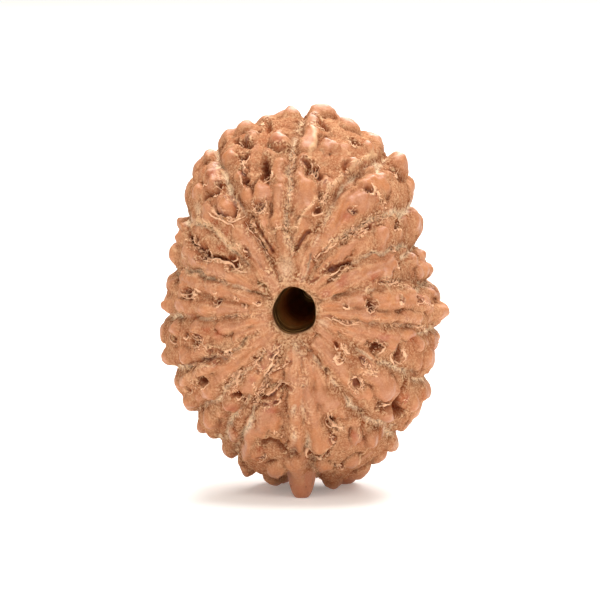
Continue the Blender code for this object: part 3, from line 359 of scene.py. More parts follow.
# Trails of pale crumbs: points as bearing and distance, then half spread and crumbs to the millimetre
crumbTrails = (
    (((18, 4.7), (24, 6.2), (29, 7.6), (33, 8.6)), 0.22, 9),
    (((33, 8.6), (37, 9.8), (39.5, 11), (42, 12.3), (44, 13.5)), 0.34, 17),
    (((36.5, 8.9), (39.5, 9.6), (42.5, 10.5)), 0.14, 12),
    (((47, 4.6), (50.5, 5.6), (50.5, 7.2)), 0.14, 10),
    (((72, 8.8), (74, 9.8), (76, 10.8)), 0.30, 22),
    (((98, 3.4), (100, 4.5), (101, 5.5), (100, 6.5)), 0.14, 7),
    (((97.5, 9), (97, 11.5), (96.5, 13.2)), 0.26, 8),
    (((204, 4), (201, 5), (202, 6.2), (199.5, 7), (203, 8.5), (203, 9.7)), 0.32, 22),
    (((183, 4.6), (187, 4.6), (191, 5), (196, 5.7), (199.5, 6)), 0.18, 14),
    (((183, 6.9), (188, 6.8), (192, 7.3), (195, 8.0), (199, 8.4)), 0.20, 15),
    (((195, 9.5), (202, 9.9)), 0.24, 16),
    (((211, 6.2), (216, 6), (220, 6.1)), 0.18, 13),
    (((217, 4.5), (219.5, 5.5), (218, 6.8)), 0.26, 14),
    (((219, 7.8), (222, 8.4), (221, 9.4), (217.5, 9.6)), 0.42, 34),
    (((235, 7.2), (237.5, 7.6)), 0.26, 20),
    (((236, 8.9), (240, 9.8), (242, 11.3)), 0.14, 7),
    (((304.5, 12.3), (303, 10.6), (302, 9.6), (304.5, 8.3), (306.5, 7.4)), 0.18, 13),
    (((320, 8), (317, 9), (316, 11.5), (313.5, 13)), 0.34, 8),
    (((334, 9.6), (335.7, 8), (337.5, 6.6)), 0.12, 10),
    (((322, 12.6), (323.5, 11), (328, 10.4), (332.5, 11.2), (333, 12.4)), 0.16, 18),
    (((358, 5.6), (356, 8), (356.5, 10), (358, 12), (359, 14), (360, 16)), 0.20, 7),
    (((16, 12.2), (19, 13.6), (22, 15), (25.5, 16.6)), 0.18, 8),
    (((12.5, 10.8), (15, 11.7)), 0.34, 28),
    (((343, 7.8), (349, 7.9), (353, 8.2), (362, 8.2)), 0.12, 8),
    (((363, 8.5), (366, 9.6), (369, 10.2), (371, 11.3)), 0.12, 8),
    (((32.5, 14.2), (36, 13.7), (40, 13.8), (43, 13.6)), 0.24, 12),
    (((341, 11.4), (339.5, 10.4), (343, 9.9), (344.8, 10.8)), 0.26, 20),
    (((341.5, 16), (341, 15), (340.5, 14.2)), 0.22, 14),
    (((351, 13), (350, 12.7)), 0.28, 30),
    (((124, 5.8), (125.5, 6.2)), 0.30, 40),
    (((125.5, 8.2), (127, 8.9), (125, 9.5)), 0.34, 34),
    (((160, 10.4), (162, 11.2), (159.5, 11.9), (156.5, 12.2)), 0.34, 24),
    (((164, 12.3), (163.5, 13.2)), 0.22, 18),
    (((138, 12.2), (136, 12.4)), 0.26, 26),
    (((108.5, 11.1), (112, 11.6)), 0.22, 22),
    (((290.5, 10), (291, 11.7)), 0.26, 9),
    (((294, 6.4), (293, 8.2)), 0.16, 7),
    (((248.5, 9), (252, 9.6), (256.5, 10.2)), 0.42, 22),
    (((265.5, 4), (266, 6), (265.5, 8)), 0.10, 6),
    (((205.5, 8.5), (208, 7.6)), 0.18, 12),
    (((188.5, 11.4), (186.5, 12.2)), 0.30, 9),
    (((171.5, 15.4), (172.5, 16.6)), 0.30, 12),
)

# Rings of crumbs round small scars: bearing, distance, radius and count
crumbRings = (
    (137.5, 9.1, 0.72, 42), (135, 6.3, 0.48, 30), (112, 8.7, 0.50, 22), (163.5, 15.4, 0.45, 22),
    (8.5, 13.9, 0.30, 16), (35.5, 16.6, 0.35, 16), (32.5, 13.6, 0.42, 20), (19.5, 17.2, 0.45, 14),
    (31, 11.2, 0.30, 18), (50.5, 13.1, 0.36, 16), (66, 11.1, 0.36, 16), (57, 11.6, 0.32, 14),
    (85, 7.4, 0.55, 22), (83.5, 10.3, 0.30, 12), (85.5, 12.4, 0.40, 14), (192.5, 14.2, 0.32, 14),
    (234, 11.7, 0.45, 18), (237, 7.2, 0.30, 14), (282, 7.4, 0.35, 14), (280, 9.8, 0.42, 20),
    (303.5, 10.3, 0.45, 16), (340.8, 10.5, 0.45, 22), (349.5, 13.2, 0.40, 18), (286, 3.5, 0.20, 10),
    (285, 5.3, 0.20, 10), (277.5, 4.7, 0.20, 10), (207.5, 11.2, 0.30, 10), (129, 13.6, 0.30, 8),
    (6, 18.0, 0.35, 10), (341, 15.3, 0.30, 12),
)

# Small pits, too fine for the solid: bearing, distance, half width, depth
finePits = (
    (83, 5.0, 0.25, 0.35), (83.5, 10.3, 0.42, 0.5), (86, 13.1, 0.3, 0.4), (96, 12.3, 0.25, 0.4),
    (128, 5.2, 0.25, 0.35), (135, 6.3, 0.3, 0.35), (133.5, 12.3, 0.3, 0.45), (167, 13.9, 0.3, 0.45),
    (170.5, 14.1, 0.3, 0.45), (163, 15.4, 0.3, 0.35), (191, 8.8, 0.3, 0.4), (222, 5.7, 0.3, 0.35),
    (232.5, 12.5, 0.3, 0.45), (237, 7.2, 0.3, 0.4), (257.5, 10.4, 0.3, 0.4), (281, 10.3, 0.3, 0.4),
    (286, 3.5, 0.2, 0.25), (285, 5.3, 0.2, 0.25), (277.5, 4.7, 0.2, 0.25), (302.5, 9.3, 0.3, 0.45),
    (307, 11.5, 0.3, 0.4), (311, 7.8, 0.3, 0.45), (325.5, 14.6, 0.3, 0.4), (329.5, 14.1, 0.3, 0.4),
    (341, 15.3, 0.3, 0.4), (342, 17.4, 0.35, 0.4), (350.5, 18.5, 0.35, 0.4), (320, 6.9, 0.25, 0.35),
    (322, 7.4, 0.25, 0.35), (31, 11.2, 0.35, 0.45), (209, 9.8, 0.3, 0.4), (205, 4.6, 0.25, 0.3),
)


# The mouth's middle as it is seen: where a face's middle falls, turned by the side turn and the rise, and a
# little larger for being nearer
def readingOrigin():
    closer = 1.0 / (1.0 - beadForm["halfDepth"] / reading["eyeDistance"])
    across = -beadForm["halfDepth"] * math.sin(reading["sideTurn"]) * closer
    upwards = -beadForm["halfDepth"] * math.cos(reading["sideTurn"]) * math.sin(reading["rise"]) * closer
    return across, upwards


# A bearing and a distance, turned into a place across and upwards of the middle of the bead
def seenPlane(bearing, distance):
    across, upwards = readingOrigin()
    angle = np.radians(bearing)
    return across + distance * np.sin(angle), upwards + distance * np.cos(angle)


# The tips as places on the bead: the seen place turned back by the side turn and the rise, at its distance
# behind the middle
def tipPlaces():
    table = np.array(tips)
    across, upwards = seenPlane(table[:, 0], table[:, 1])
    y = table[:, 3]
    turn, rise = reading["sideTurn"], reading["rise"]
    x = (across - y * math.sin(turn)) / math.cos(turn)
    z = (upwards + x * math.sin(turn) * math.sin(rise)) / math.cos(rise)
    z -= y * math.cos(turn) * math.tan(rise)
    return x, y, z, table[:, 2]


# The smooth outline: an average of the tips' distances, each weighted by how near its bearing is
def outlineRadius(angle):
    x, _, z, _ = tipPlaces()
    gap = (angle[..., None] - np.arctan2(x, z) + math.pi) % (2 * math.pi) - math.pi
    weight = np.exp(-(gap / math.radians(beadForm["outlineSmoothing"])) ** 2)
    return (weight * np.hypot(x, z)).sum(-1) / weight.sum(-1) - beadForm["noduleStand"]


# A mouth's radius round the bore: the front one is stretched upwards and waves a little
def mouthRadius(angle, back):
    waves = sum(share * np.cos(count * angle - phase) for count, share, phase in beadForm["mouthWaves"])
    front = beadForm["frontMouth"] * (1 + beadForm["mouthStretch"] * np.cos(2 * angle) + waves)
    return np.where(back, beadForm["backMouth"], front)


# How far each point is from the edge of the mouth on its own side
def mouthGap(points):
    angle = np.arctan2(points[:, 0], points[:, 2])
    return np.hypot(points[:, 0], points[:, 2]) - mouthRadius(angle, points[:, 1] > 0)


# How far from the middle section the smooth skin lies: a superellipse from the edge to the mouth
def skinDepth(angle, distance, back):
    power = beadForm["profilePower"]
    mouth = mouthRadius(angle, back)
    almostEdge = 0.9995
    share = np.clip((distance - mouth) / (outlineRadius(angle) - mouth), 0.0, almostEdge)
    return beadForm["halfDepth"] * (1 - share ** power) ** (1 / power)


# Follows the line of sight through a read place to the smooth skin, step by step
def onSkin(bearing, distance):
    across, upwards = seenPlane(np.asarray(bearing, float), np.asarray(distance, float))
    turn, rise = reading["sideTurn"], reading["rise"]
    y = np.full(across.shape, -beadForm["halfDepth"])
    x = across.copy()
    z = upwards.copy()
    for _ in range(reading["steps"]):
        nearer = (x * math.sin(turn) * math.cos(rise) - y * math.cos(turn) * math.cos(rise)
                  + z * math.sin(rise))
        shrink = 1 - nearer / reading["eyeDistance"]
        x = (across * shrink - y * math.sin(turn)) / math.cos(turn)
        level = upwards * shrink + x * math.sin(turn) * math.sin(rise)
        z = (level - y * math.cos(turn) * math.sin(rise)) / math.cos(rise)
        depth = skinDepth(np.arctan2(x, z), np.hypot(x, z), False)
        y = (1 - reading["stride"]) * y - reading["stride"] * depth
    return np.stack([x, y, z], -1)


# A listed path on the smooth skin
def pathOnSkin(path):
    return onSkin(*np.array(path, float).T)


# A listed place on the smooth skin
def spotOnSkin(bearing, distance):
    return onSkin([bearing], [distance])[0]


# A place on the smooth skin, by its angle round the bore and its share of the way from the edge to the mouth
def skinPoint(angle, share, back):
    power = beadForm["profilePower"]
    mouth = mouthRadius(angle, back)
    turn = share * math.pi / 2
    distance = mouth + (outlineRadius(angle) - mouth) * np.cos(turn) ** (2 / power)
    y = beadForm["halfDepth"] * np.sin(turn) ** (2 / power)
    return np.stack([distance * np.sin(angle), np.where(back, y, -y), distance * np.cos(angle)], -1)


# Direction that the relief is raised in: the slope of the superellipse, square to the smooth skin
def outward(points):
    power = beadForm["profilePower"]
    angle = np.arctan2(points[:, 0], points[:, 2])
    mouth = mouthRadius(angle, points[:, 1] > 0)
    span = outlineRadius(angle) - mouth
    share = np.clip((np.hypot(points[:, 0], points[:, 2]) - mouth) / span, 0.0, 1.0)
    radial = share ** (power - 1) / span
    deep = np.clip(np.abs(points[:, 1]) / beadForm["halfDepth"], 0.0, 1.0)
    axial = np.sign(points[:, 1]) * deep ** (power - 1) / beadForm["halfDepth"]
    direction = np.stack([radial * np.sin(angle), axial, radial * np.cos(angle)], -1)
    return direction / np.linalg.norm(direction, axis=1, keepdims=True)


hashFactors = (73856093, 19349663, 83492791, 9176263, 1274126177)     # large odd numbers


# A value from -1 to 1 for each lattice corner: its three whole numbers and the salt, multiplied by large odd
# numbers and their digits mixed
def cornerValue(at, salt):
    first, second, third, salted, again = hashFactors
    code = at[:, 0] * first ^ at[:, 1] * second ^ at[:, 2] * third ^ salt * salted
    code = (code ^ (code >> 13)) * again
    code = code ^ (code >> 16)
    return (code & 65535) / 32767.5 - 1


# Random values at the corners of a lattice, blended smoothly in between. Each salt gives another pattern.
def smoothNoise(points, size, salt):
    cells = points / size
    low = np.floor(cells).astype(np.int64)
    part = cells - low
    blend = part ** 3 * (part * (part * 6 - 15) + 10)
    total = np.zeros(len(points))
    for corner in range(8):
        step = np.array([(corner >> k) & 1 for k in range(3)])
        total += cornerValue(low + step, salt) * np.where(step, blend, 1 - blend).prod(axis=1)
    return total


# Distances to the nearest and the second nearest of one random point in each lattice cell
def cellNoise(points, size, salt):
    fromMiddle = 0.42       # how far a cell's point can lie from the cell's middle
    farAway = 9.0           # more than any distance that is found, in cells
    cells = points / size
    low = np.floor(cells).astype(np.int64)
    first = np.full(len(points), farAway)
    second = first.copy()
    for corner in range(27):
        step = np.array([corner % 3 - 1, corner // 3 % 3 - 1, corner // 9 - 1])
        at = low + step
        spot = np.stack([cornerValue(at, salt + k) for k in range(3)], -1) * fromMiddle + 0.5 + at
        gap = np.linalg.norm(cells - spot, axis=1)
        second = np.minimum(second, np.maximum(first, gap))
        first = np.minimum(first, gap)
    return first, second


# Distance from each point to a path of straight pieces, up to the reach
def pathGap(points, path, reach):
    inside = (points > path.min(axis=0) - reach) & (points < path.max(axis=0) + reach)
    near = np.nonzero(inside.all(axis=1))[0]
    gap = np.full(len(near), reach)
    for start, end in zip(path[:-1], path[1:]):
        along = end - start
        share = np.clip((points[near] - start) @ along / max(along @ along, 1e-9), 0, 1)
        gap = np.minimum(gap, np.linalg.norm(points[near] - start - share[:, None] * along, axis=1))
    return near, gap


# Distance from a place, counted in half widths round the bore and half lengths outwards
def spotGap(points, place, halfWidth, halfLength):
    reach = 1.6 * max(halfWidth, halfLength)
    near = np.nonzero((np.abs(points - place) < reach).all(axis=1))[0]
    offset = points[near] - place
    roundBore = np.array([place[2], 0.0, -place[0]])
    roundBore /= np.linalg.norm(roundBore)
    sideways = offset @ roundBore
    lengthways = np.sqrt(np.maximum((offset ** 2).sum(axis=1) - sideways ** 2, 0))
    return near, np.hypot(sideways / halfWidth, lengthways / halfLength)


backForm = {
    "cleftPoints": 9,
    "cleftDrift": 1.1,          # degrees that a cleft wanders from one point to the next
    "cleftEnd": 0.96,           # share of the way from the edge to the back mouth
    "frontPoints": 4,           # it also starts a little before the edge, to meet the listed cleft
    "frontEnd": 0.3,
    "twoRows": 16.0,            # degrees between two clefts that make room for two rows of nodules
    "firstNodule": 0.03,        # share of the way
    "firstSpread": 0.06,
    "lastNodule": 0.9,
    "noduleStep": (0.075, 0.12),
    "sideStep": 0.1,            # share of the way between the clefts
    "fill": 0.55,               # half width, as a share of a row's width
    "widest": 1.4,
    "unevenWidth": (0.8, 1.1),
    "halfLength": (0.9, 1.6),
    "height": (0.45, 0.95),
    "lowerAtMouth": 0.5,
}


# Every cleft runs on over the edge of the bead to the mouth at the back, its angle a sum of small random
# turns
def backCleftPaths(generator):
    count = backForm["cleftPoints"]
    paths = []
    angles = []
    for cleft in clefts:
        across, upwards = seenPlane(*cleft[-1])
        angle = math.atan2(across, upwards)
        angles.append(angle)
        drift = generator.uniform(-1, 1, count).cumsum() * math.radians(backForm["cleftDrift"])
        paths.append(skinPoint(angle + drift, np.linspace(0.0, backForm["cleftEnd"], count), True))
        straight = np.full(backForm["frontPoints"], angle)
        paths.append(skinPoint(straight, np.linspace(0.0, backForm["frontEnd"], len(straight)), False))
    return paths, sorted(a % (2 * math.pi) for a in angles)


# One or two rows of nodules on each face, from the edge of the bead to the mouth at the back
def backNodules(angles, generator):
    placed = []
    for first, second in zip(angles, angles[1:] + [angles[0] + 2 * math.pi]):
        width = second - first
        rows = 2 if width > math.radians(backForm["twoRows"]) else 1
        for row in range(rows):
            share = backForm["firstNodule"] + generator.uniform(0, backForm["firstSpread"])
            while share < backForm["lastNodule"]:
                lean = (row + 0.5) / rows + generator.uniform(-backForm["sideStep"], backForm["sideStep"])
                place = skinPoint(np.array([first + width * lean]), np.array([share]), True)[0]
                across = np.hypot(place[0], place[2]) * width / rows * backForm["fill"]
                halfWidth = min(across, backForm["widest"]) * generator.uniform(*backForm["unevenWidth"])
                halfLength = generator.uniform(*backForm["halfLength"])
                height = generator.uniform(*backForm["height"]) * (1 - backForm["lowerAtMouth"] * share)
                placed.append((place, halfWidth, halfLength, height))
                share += generator.uniform(*backForm["noduleStep"])
    return placed


# Raises the values at the near points to the new ones, where those are higher
def riseOver(values, near, new):
    values[near] = np.maximum(values[near], new)


# A soft band: 1 where the gap is as given, fading to both sides over the width
def band(gap, at, width):
    return np.exp(-((gap - at) / width) ** 2)


# A dome: 1 in the middle, and 0 where the gap is 1 and beyond
def domeOver(gap):
    return np.clip(1 - gap ** 2, 0, 1)


# From the start, where the share is 0, to 1, where it is 1
def grown(start, share):
    return start + (1 - start) * share


# How masks and crust are broken into patches: size in millimetres, salt, middle, contrast and least
patches = {
    "crease": (1.3, 18, 0.25, 1.7, 0.0),
    "cleft": (1.1, 17, 0.75, 1.2, 0.15),
    "cleftShade": (0.8, 15, 0.35, 1.6, 0.0),
    "fringe": (0.95, 14, 0.65, 1.3, 0.0),
    "crust": (1.7, 43, 0.5, 1.4, 0.1),
    "mouth": (0.6, 16, 0.5, 1.2, 0.0),
}


# Smooth noise round the middle, steepened by the contrast and kept between its least and 1
def patchy(points, label):
    size, salt, middle, contrast, least = patches[label]
    return np.clip(middle + contrast * smoothNoise(points, size, salt), least, 1)


reliefDetail = {
    "swells": ((0.16, 3.4, 1), (0.10, 1.5, 2)),     # height, size and salt of the skin's own unevenness
    "sink": 0.06,
    "barPower": 0.5,         # less than 1 makes a ridge's sides steeper and its top flatter
    "barLevel": 0.9,
    "barUneven": 0.4,        # how much higher and lower a ridge gets along its length
    "barUnevenSize": 1.7,
    "barReach": 1.4,         # in half widths
    "barTop": 0.85,          # how rubbed a ridge is, when a nodule's top is 1
    "domePower": 0.7,
    "noduleRise": 1.15,      # the listed heights are read a little low
    "tipWidth": 1.25,        # in listed half widths
    "tipLength": 1.9,
    "wobble": 0.24,          # how unevenly a form is drawn in and let out round its edge
    "wobbleSize": 0.65,
    "fillers": 300,          # low lumps on the front between the nodules that are listed
    "fillerFrom": 3.4,       # distance from the mouth's middle
    "fillerOver": 13.5,
    "fillerCrowd": 0.75,     # less than 1 puts more of them near the outline
    "fillerOffEdge": 2.0,    # none is nearer to the middle section than this
    "fillerWidth": (0.45, 0.95),
    "fillerLength": (0.6, 1.3),
    "fillerHeight": (0.12, 0.34),
    "fillerTop": 0.5,
    "scars": 150,            # small pits of the back and the sides
    "scarEnd": 0.9,          # share of the way from the edge to the back mouth
    "scarCrowd": 1.3,        # more than 1 puts more of them near the edge
    "scarWidth": (0.16, 0.5),
    "scarStretch": 1.1,
    "scarDepth": (0.25, 0.6),
    "pitWobble": 1.6,        # pits are more ragged than nodules by this power
    "pitRim": 0.10,          # a pit's raised lip
    "rimBand": (1.15, 0.22),            # bands are given as place and width, in half widths
    "pitFringeBand": (1.1, 0.3),
    "creaseDepth": 0.20,     # where a nodule meets the skin round it
    "creaseBand": (1.04, 0.15),
    "creaseOffTop": 1.6,     # how soon a rubbed top hides a crease
    "blushFall": 2,
    "outwardsFrom": 4,       # millimetres from the bore's axis where the clefts start to deepen
    "outwardsOver": 9,
    "cleftReach": 2.4,
    "cleftRounding": 0.12,   # at the bottom
    "dustWidth": 0.6,        # in cleft widths
    "dustAtMouth": 0.4,
    "cleftUnshaded": 0.9,         # share of a cleft's depth that is left out of the painted shade
    "coreWidth": 0.10,
    "coreFade": 0.4,
    "cleftFringe": 0.6,
    "cleftFringeWidth": 0.8,
    "sandDust": 0.45,
    "sandFringe": 0.8,
    "grooveReach": 1.0,
    "crackReach": 1.5,
    "crackFringeBand": (1.6, 0.7),
    "trailReach": 4,         # in listed spreads
    "trailWidth": 1.5,
    "ringBand": (1, 0.35),
    "fringe": 0.10,          # height of the crumbly pulp along cracks and round pits
    "fringeSize": 0.30,
}


# Low lumps on the front, drawn out along the lines that run from the mouth
def fillerSpots(generator):
    count = reliefDetail["fillers"]
    bearing = generator.uniform(0, 360, count)
    out = generator.uniform(0, 1, count) ** reliefDetail["fillerCrowd"]
    places = onSkin(bearing, reliefDetail["fillerFrom"] + reliefDetail["fillerOver"] * out)
    keep = np.abs(places[:, 1]) > reliefDetail["fillerOffEdge"]
    wide = generator.uniform(*reliefDetail["fillerWidth"], count)
    long = generator.uniform(*reliefDetail["fillerLength"], count)
    high = generator.uniform(*reliefDetail["fillerHeight"], count)
    return [(places[i], wide[i], long[i], high[i]) for i in np.nonzero(keep)[0]]


# Small pits that the pulp's fibres left, strewn over the sides and the back
def backScars(generator):
    count = reliefDetail["scars"]
    angle = generator.uniform(0, 2 * math.pi, count)
    share = generator.uniform(0, reliefDetail["scarEnd"], count) ** reliefDetail["scarCrowd"]
    places = skinPoint(angle, share, np.ones(count, bool))
    wide = generator.uniform(*reliefDetail["scarWidth"], count)
    deep = generator.uniform(*reliefDetail["scarDepth"], count)
    return [(places[i], wide[i], wide[i] * reliefDetail["scarStretch"], deep[i]) for i in range(count)]


# The tips as nodules: each stands on the smooth outline and reaches as far out as it is read
def tipSpots():
    x, y, z, width = tipPlaces()
    reach = np.hypot(x, z)
    base = outlineRadius(np.arctan2(x, z))
    onEdge = np.stack([x * base / reach, y, z * base / reach], -1)
    stand = reach - base
    return [(onEdge[i], width[i] * reliefDetail["tipWidth"], reliefDetail["tipLength"], stand[i])
            for i in range(len(x))]


# What stands up from the smooth skin: swells, ridges, nodules, low lumps and lips, each a dome over the gap
# to its line or its middle
def raiseForms(points, masks, wobble, generator):
    detail = reliefDetail
    height = sum(high * smoothNoise(points, size, salt) for high, size, salt in detail["swells"])
    height -= detail["sink"]
    swell = detail["barLevel"] + detail["barUneven"] * smoothNoise(points, detail["barUnevenSize"], 10)
    for path, halfWidth, riseBy in bars:
        near, gap = pathGap(points, pathOnSkin(path), detail["barReach"] * halfWidth)
        gap = gap * wobble[near] / halfWidth
        dome = domeOver(gap)
        riseOver(height, near, riseBy * swell[near] * dome ** detail["barPower"])
        riseOver(masks["crease"], near, band(gap, *detail["creaseBand"]))
        riseOver(masks["top"], near, detail["barTop"] * dome)
    spots = [(spotOnSkin(b, d), w, l, detail["noduleRise"] * h) for b, d, w, l, h in nodules]
    backPaths, angles = backCleftPaths(generator)
    spots += backNodules(angles, generator)
    spots += tipSpots()
    for place, halfWidth, halfLength, riseBy in spots:
        near, gap = spotGap(points, place, halfWidth, halfLength)
        gap = gap * wobble[near]
        dome = domeOver(gap)
        riseOver(height, near, riseBy * dome ** detail["domePower"])
        riseOver(masks["top"], near, dome)
        riseOver(masks["crease"], near, band(gap, *detail["creaseBand"]))
    for place, halfWidth, halfLength, riseBy in fillerSpots(generator):
        near, gap = spotGap(points, place, halfWidth, halfLength)
        dome = domeOver(gap * wobble[near])
        height[near] += riseBy * dome
        riseOver(masks["top"], near, detail["fillerTop"] * dome)
    for path, halfWidth, riseBy in lips:
        near, gap = pathGap(points, pathOnSkin(path), 3 * halfWidth)
        height[near] += riseBy * band(gap, 0, halfWidth)
        riseOver(masks["pale"], near, band(gap, 0, halfWidth))
    return height, backPaths


# What is cut into it: creases, clefts that deepen outwards, soft grooves, cracks and pits, each deepest on
# its line or in its middle. A pit's lip is added to the height.
def cutForms(points, height, masks, wobble, backPaths, generator):
    detail = reliefDetail
    # the creases are cut as a groove here, and painted with shade in the material
    masks["crease"] *= patchy(points, "crease") * np.clip(1 - detail["creaseOffTop"] * masks["top"], 0, 1)
    groove = detail["creaseDepth"] * masks["crease"]
    fromAxis = np.hypot(points[:, 0], points[:, 2])
    outwards = np.clip((fromAxis - detail["outwardsFrom"]) / detail["outwardsOver"], 0, 1)
    depth = beadForm["cleftDepth"] * grown(beadForm["cleftStart"], outwards ** 2)
    width = beadForm["cleftWidth"] * grown(beadForm["cleftStart"], outwards) * wobble
    for path in [pathOnSkin(cleft) for cleft in clefts] + backPaths:
        near, gap = pathGap(points, path, detail["cleftReach"])
        rounded = np.hypot(gap, detail["cleftRounding"]) - detail["cleftRounding"]
        riseOver(groove, near, depth[near] * np.exp(-rounded / width[near]))
        riseOver(masks["cleft"], near, band(gap, 0, detail["dustWidth"] * width[near]))
        # a thin line along a cleft's bottom, painted with shade in the material
        riseOver(masks["cleftShade"], near, band(gap, 0, detail["coreWidth"]))
        riseOver(masks["fringe"], near, detail["cleftFringe"] * band(gap, 0, detail["cleftFringeWidth"]))
    masks["cleft"] *= patchy(points, "cleft") * grown(detail["dustAtMouth"], outwards)
    masks["cleftShade"] *= patchy(points, "cleftShade") * (1 - detail["coreFade"] * outwards)
    for path, halfWidth, deep in softGrooves:
        near, gap = pathGap(points, pathOnSkin(path), detail["grooveReach"])
        riseOver(groove, near, deep * band(gap * wobble[near], 0, halfWidth))
    for path, halfWidth, deep, darkness in cracks:
        near, gap = pathGap(points, pathOnSkin(path), detail["crackReach"])
        gap = gap * wobble[near] / halfWidth
        riseOver(groove, near, deep * np.exp(-gap ** 3))
        # how dark a crack is painted, darkest on its line: the open wood's red-brown with painted shade
        riseOver(masks["pit"], near, darkness * np.exp(-gap ** 3))
        riseOver(masks["fringe"], near, band(gap, *detail["crackFringeBand"]))
    scars = [(spotOnSkin(b, d), w, l, h) for b, d, w, l, h in pits]
    scars += [(spotOnSkin(b, d), w, w, h) for b, d, w, h in finePits]
    for place, halfWidth, halfLength, deep in scars + backScars(generator):
        near, gap = spotGap(points, place, halfWidth, halfLength)
        gap = gap * wobble[near] ** detail["pitWobble"]
        riseOver(groove, near, deep * np.exp(-gap ** 4))
        height[near] += detail["pitRim"] * band(gap, *detail["rimBand"])
        # a pit is painted dark, darkest in its middle: the open wood's red-brown with painted shade
        riseOver(masks["pit"], near, np.exp(-gap ** 4))
        riseOver(masks["fringe"], near, band(gap, *detail["pitFringeBand"]))
    return groove


# What lies on it: the redder places, the pale sand, and the trails and rings where crumbs stick
def markPlaces(points, masks):
    detail = reliefDetail
    for bearing, distance, halfWidth in blushes:
        near, gap = spotGap(points, spotOnSkin(bearing, distance), halfWidth, halfWidth)
        riseOver(masks["red"], near, np.exp(-detail["blushFall"] * gap ** 2))
    for bearing, distance, halfWidth, halfLength in sandyPlaces:
        near, gap = spotGap(points, spotOnSkin(bearing, distance), halfWidth, halfLength)
        riseOver(masks["cleft"], near, detail["sandDust"] * band(gap, 0, 1))
        riseOver(masks["fringe"], near, detail["sandFringe"] * band(gap, 0, 1))
    for path, spread, _ in crumbTrails:
        near, gap = pathGap(points, pathOnSkin(path), detail["trailReach"] * spread)
        riseOver(masks["fringe"], near, band(gap, 0, detail["trailWidth"] * spread))
    for bearing, distance, radius, _ in crumbRings:
        near, gap = spotGap(points, spotOnSkin(bearing, distance), radius, radius)
        riseOver(masks["fringe"], near, band(gap, *detail["ringBand"]))
    masks["fringe"] *= patchy(points, "fringe")


# Height of the relief over the smooth skin, what stands up less what is cut, and masks from 0 to 1: how far
# each point lies on a smooth top, in a dusty cleft, on a cleft's bottom, which gets painted shade, in a
# crease, which gets painted shade, in a pit, dark red with painted shade, on a pale lip, in a red place or in
# a fringe of crumbs. The mask named lift is the height with most of the clefts' depth left out: it sets the
# painted shade in low places.
def relief(points):
    generator = np.random.default_rng(beadForm["seed"])
    labels = ("top", "cleft", "cleftShade", "crease", "pit", "pale", "red", "fringe")
    masks = {label: np.zeros(len(points)) for label in labels}
    wobble = 1 + reliefDetail["wobble"] * smoothNoise(points, reliefDetail["wobbleSize"], 9)
    height, backPaths = raiseForms(points, masks, wobble, generator)
    groove = cutForms(points, height, masks, wobble, backPaths, generator)
    markPlaces(points, masks)
    crumbly = smoothNoise(points, reliefDetail["fringeSize"], 12)
    height += reliefDetail["fringe"] * masks["fringe"] * crumbly
    # lift sets where shade is painted in low places, with most of a cleft's depth left out of it
    masks["lift"] = height - groove * (1 - reliefDetail["cleftUnshaded"] * masks["cleft"])
    return height - groove, masks


# The relief raised from the smooth skin, less of it beside the mouths, and the mouths' edges rounded
def shaped(points, height):
    fromMouth = mouthGap(points)
    fade = 1 - beadForm["mouthCalm"] * np.exp(-fromMouth / beadForm["calmReach"])
    raised = points + outward(points) * (height * fade)[:, None]
    rounding = beadForm["mouthRounding"] * np.exp(-fromMouth / beadForm["mouthReach"])
    raised[:, 1] -= np.sign(points[:, 1]) * rounding
    return raised


# Three low nodules drawn down to the level that the bead stands on, and cut flat there
def addFeet(points):
    floor = -beadForm["axisHeight"]
    for across, along, halfWidth, halfLength, lowest, power in beadForm["feet"]:
        gap = np.hypot((points[:, 0] - across) / halfWidth, (points[:, 1] - along) / halfLength)
        over = points[:, 2] - floor - lowest - beadForm["footDrop"] * gap ** power
        lowered = beadForm["footBlend"] * np.logaddexp(0, over / beadForm["footBlend"])
        points[:, 2] -= np.where(points[:, 2] < beadForm["feetUnder"] * floor, lowered, 0)
    points[:, 2] = np.maximum(points[:, 2], floor)
    return points


boreForm = {
    "dents": 0.05,              # shares of the radius
    "dentSize": 1.8,
    "scratches": 0.07,
    "scratchSize": 0.6,
    "scratchStretch": 0.4,      # less than 1 draws them out along the bore
    "darkUntil": 0.04,          # share of the bore's length by which its wall has the wall colour, dark there with painted shade
    "paleFrom": 0.1,            # and from which the painted shade beside a mouth clears
    "paleSteepness": 6,
}


# The bore's wall, from the front mouth at share 0 to the back mouth at share 1, drawn in at its waist
def borePoints(angle, share):
    reachY = beadForm["halfDepth"] - beadForm["mouthRounding"]
    front, back = beadForm["frontMouth"], beadForm["backMouth"]
    mouths = mouthRadius(angle, False) * (1 - share) + back * share
    waist = np.sin(math.pi * np.clip(share, 0, 1))
    radius = mouths + (beadForm["boreWaist"] - (front + back) / 2) * waist
    y = -reachY + 2 * reachY * share
    wall = np.stack([radius * np.sin(angle), y, radius * np.cos(angle)], -1)
    dents = boreForm["dents"] * smoothNoise(wall, boreForm["dentSize"], 7)
    drawnOut = wall * [1, boreForm["scratchStretch"], 1]
    scratches = boreForm["scratches"] * smoothNoise(drawnOut, boreForm["scratchSize"], 8)
    rough = 1 + (dents + scratches) * waist
    return wall * np.stack([rough, np.ones(len(wall)), rough], -1)


# Rows of points from the front mouth over the edge to the back mouth and home through the bore. Each zone is
# (start, end, rows, columns): 1 is the front mouth, 0 the edge, -1 the back mouth, and below that the bore.
shellGrid = {
    "zones": (
        (1.0, 0.918, 17, 160),
        (0.918, 0.698, 34, 320),
        (0.698, -0.06, 102, 640),
        (-0.06, -0.80, 40, 320),
        (-0.80, -1.0, 18, 160),
        (-1.0, -2.0, 28, 160),
    ),
}


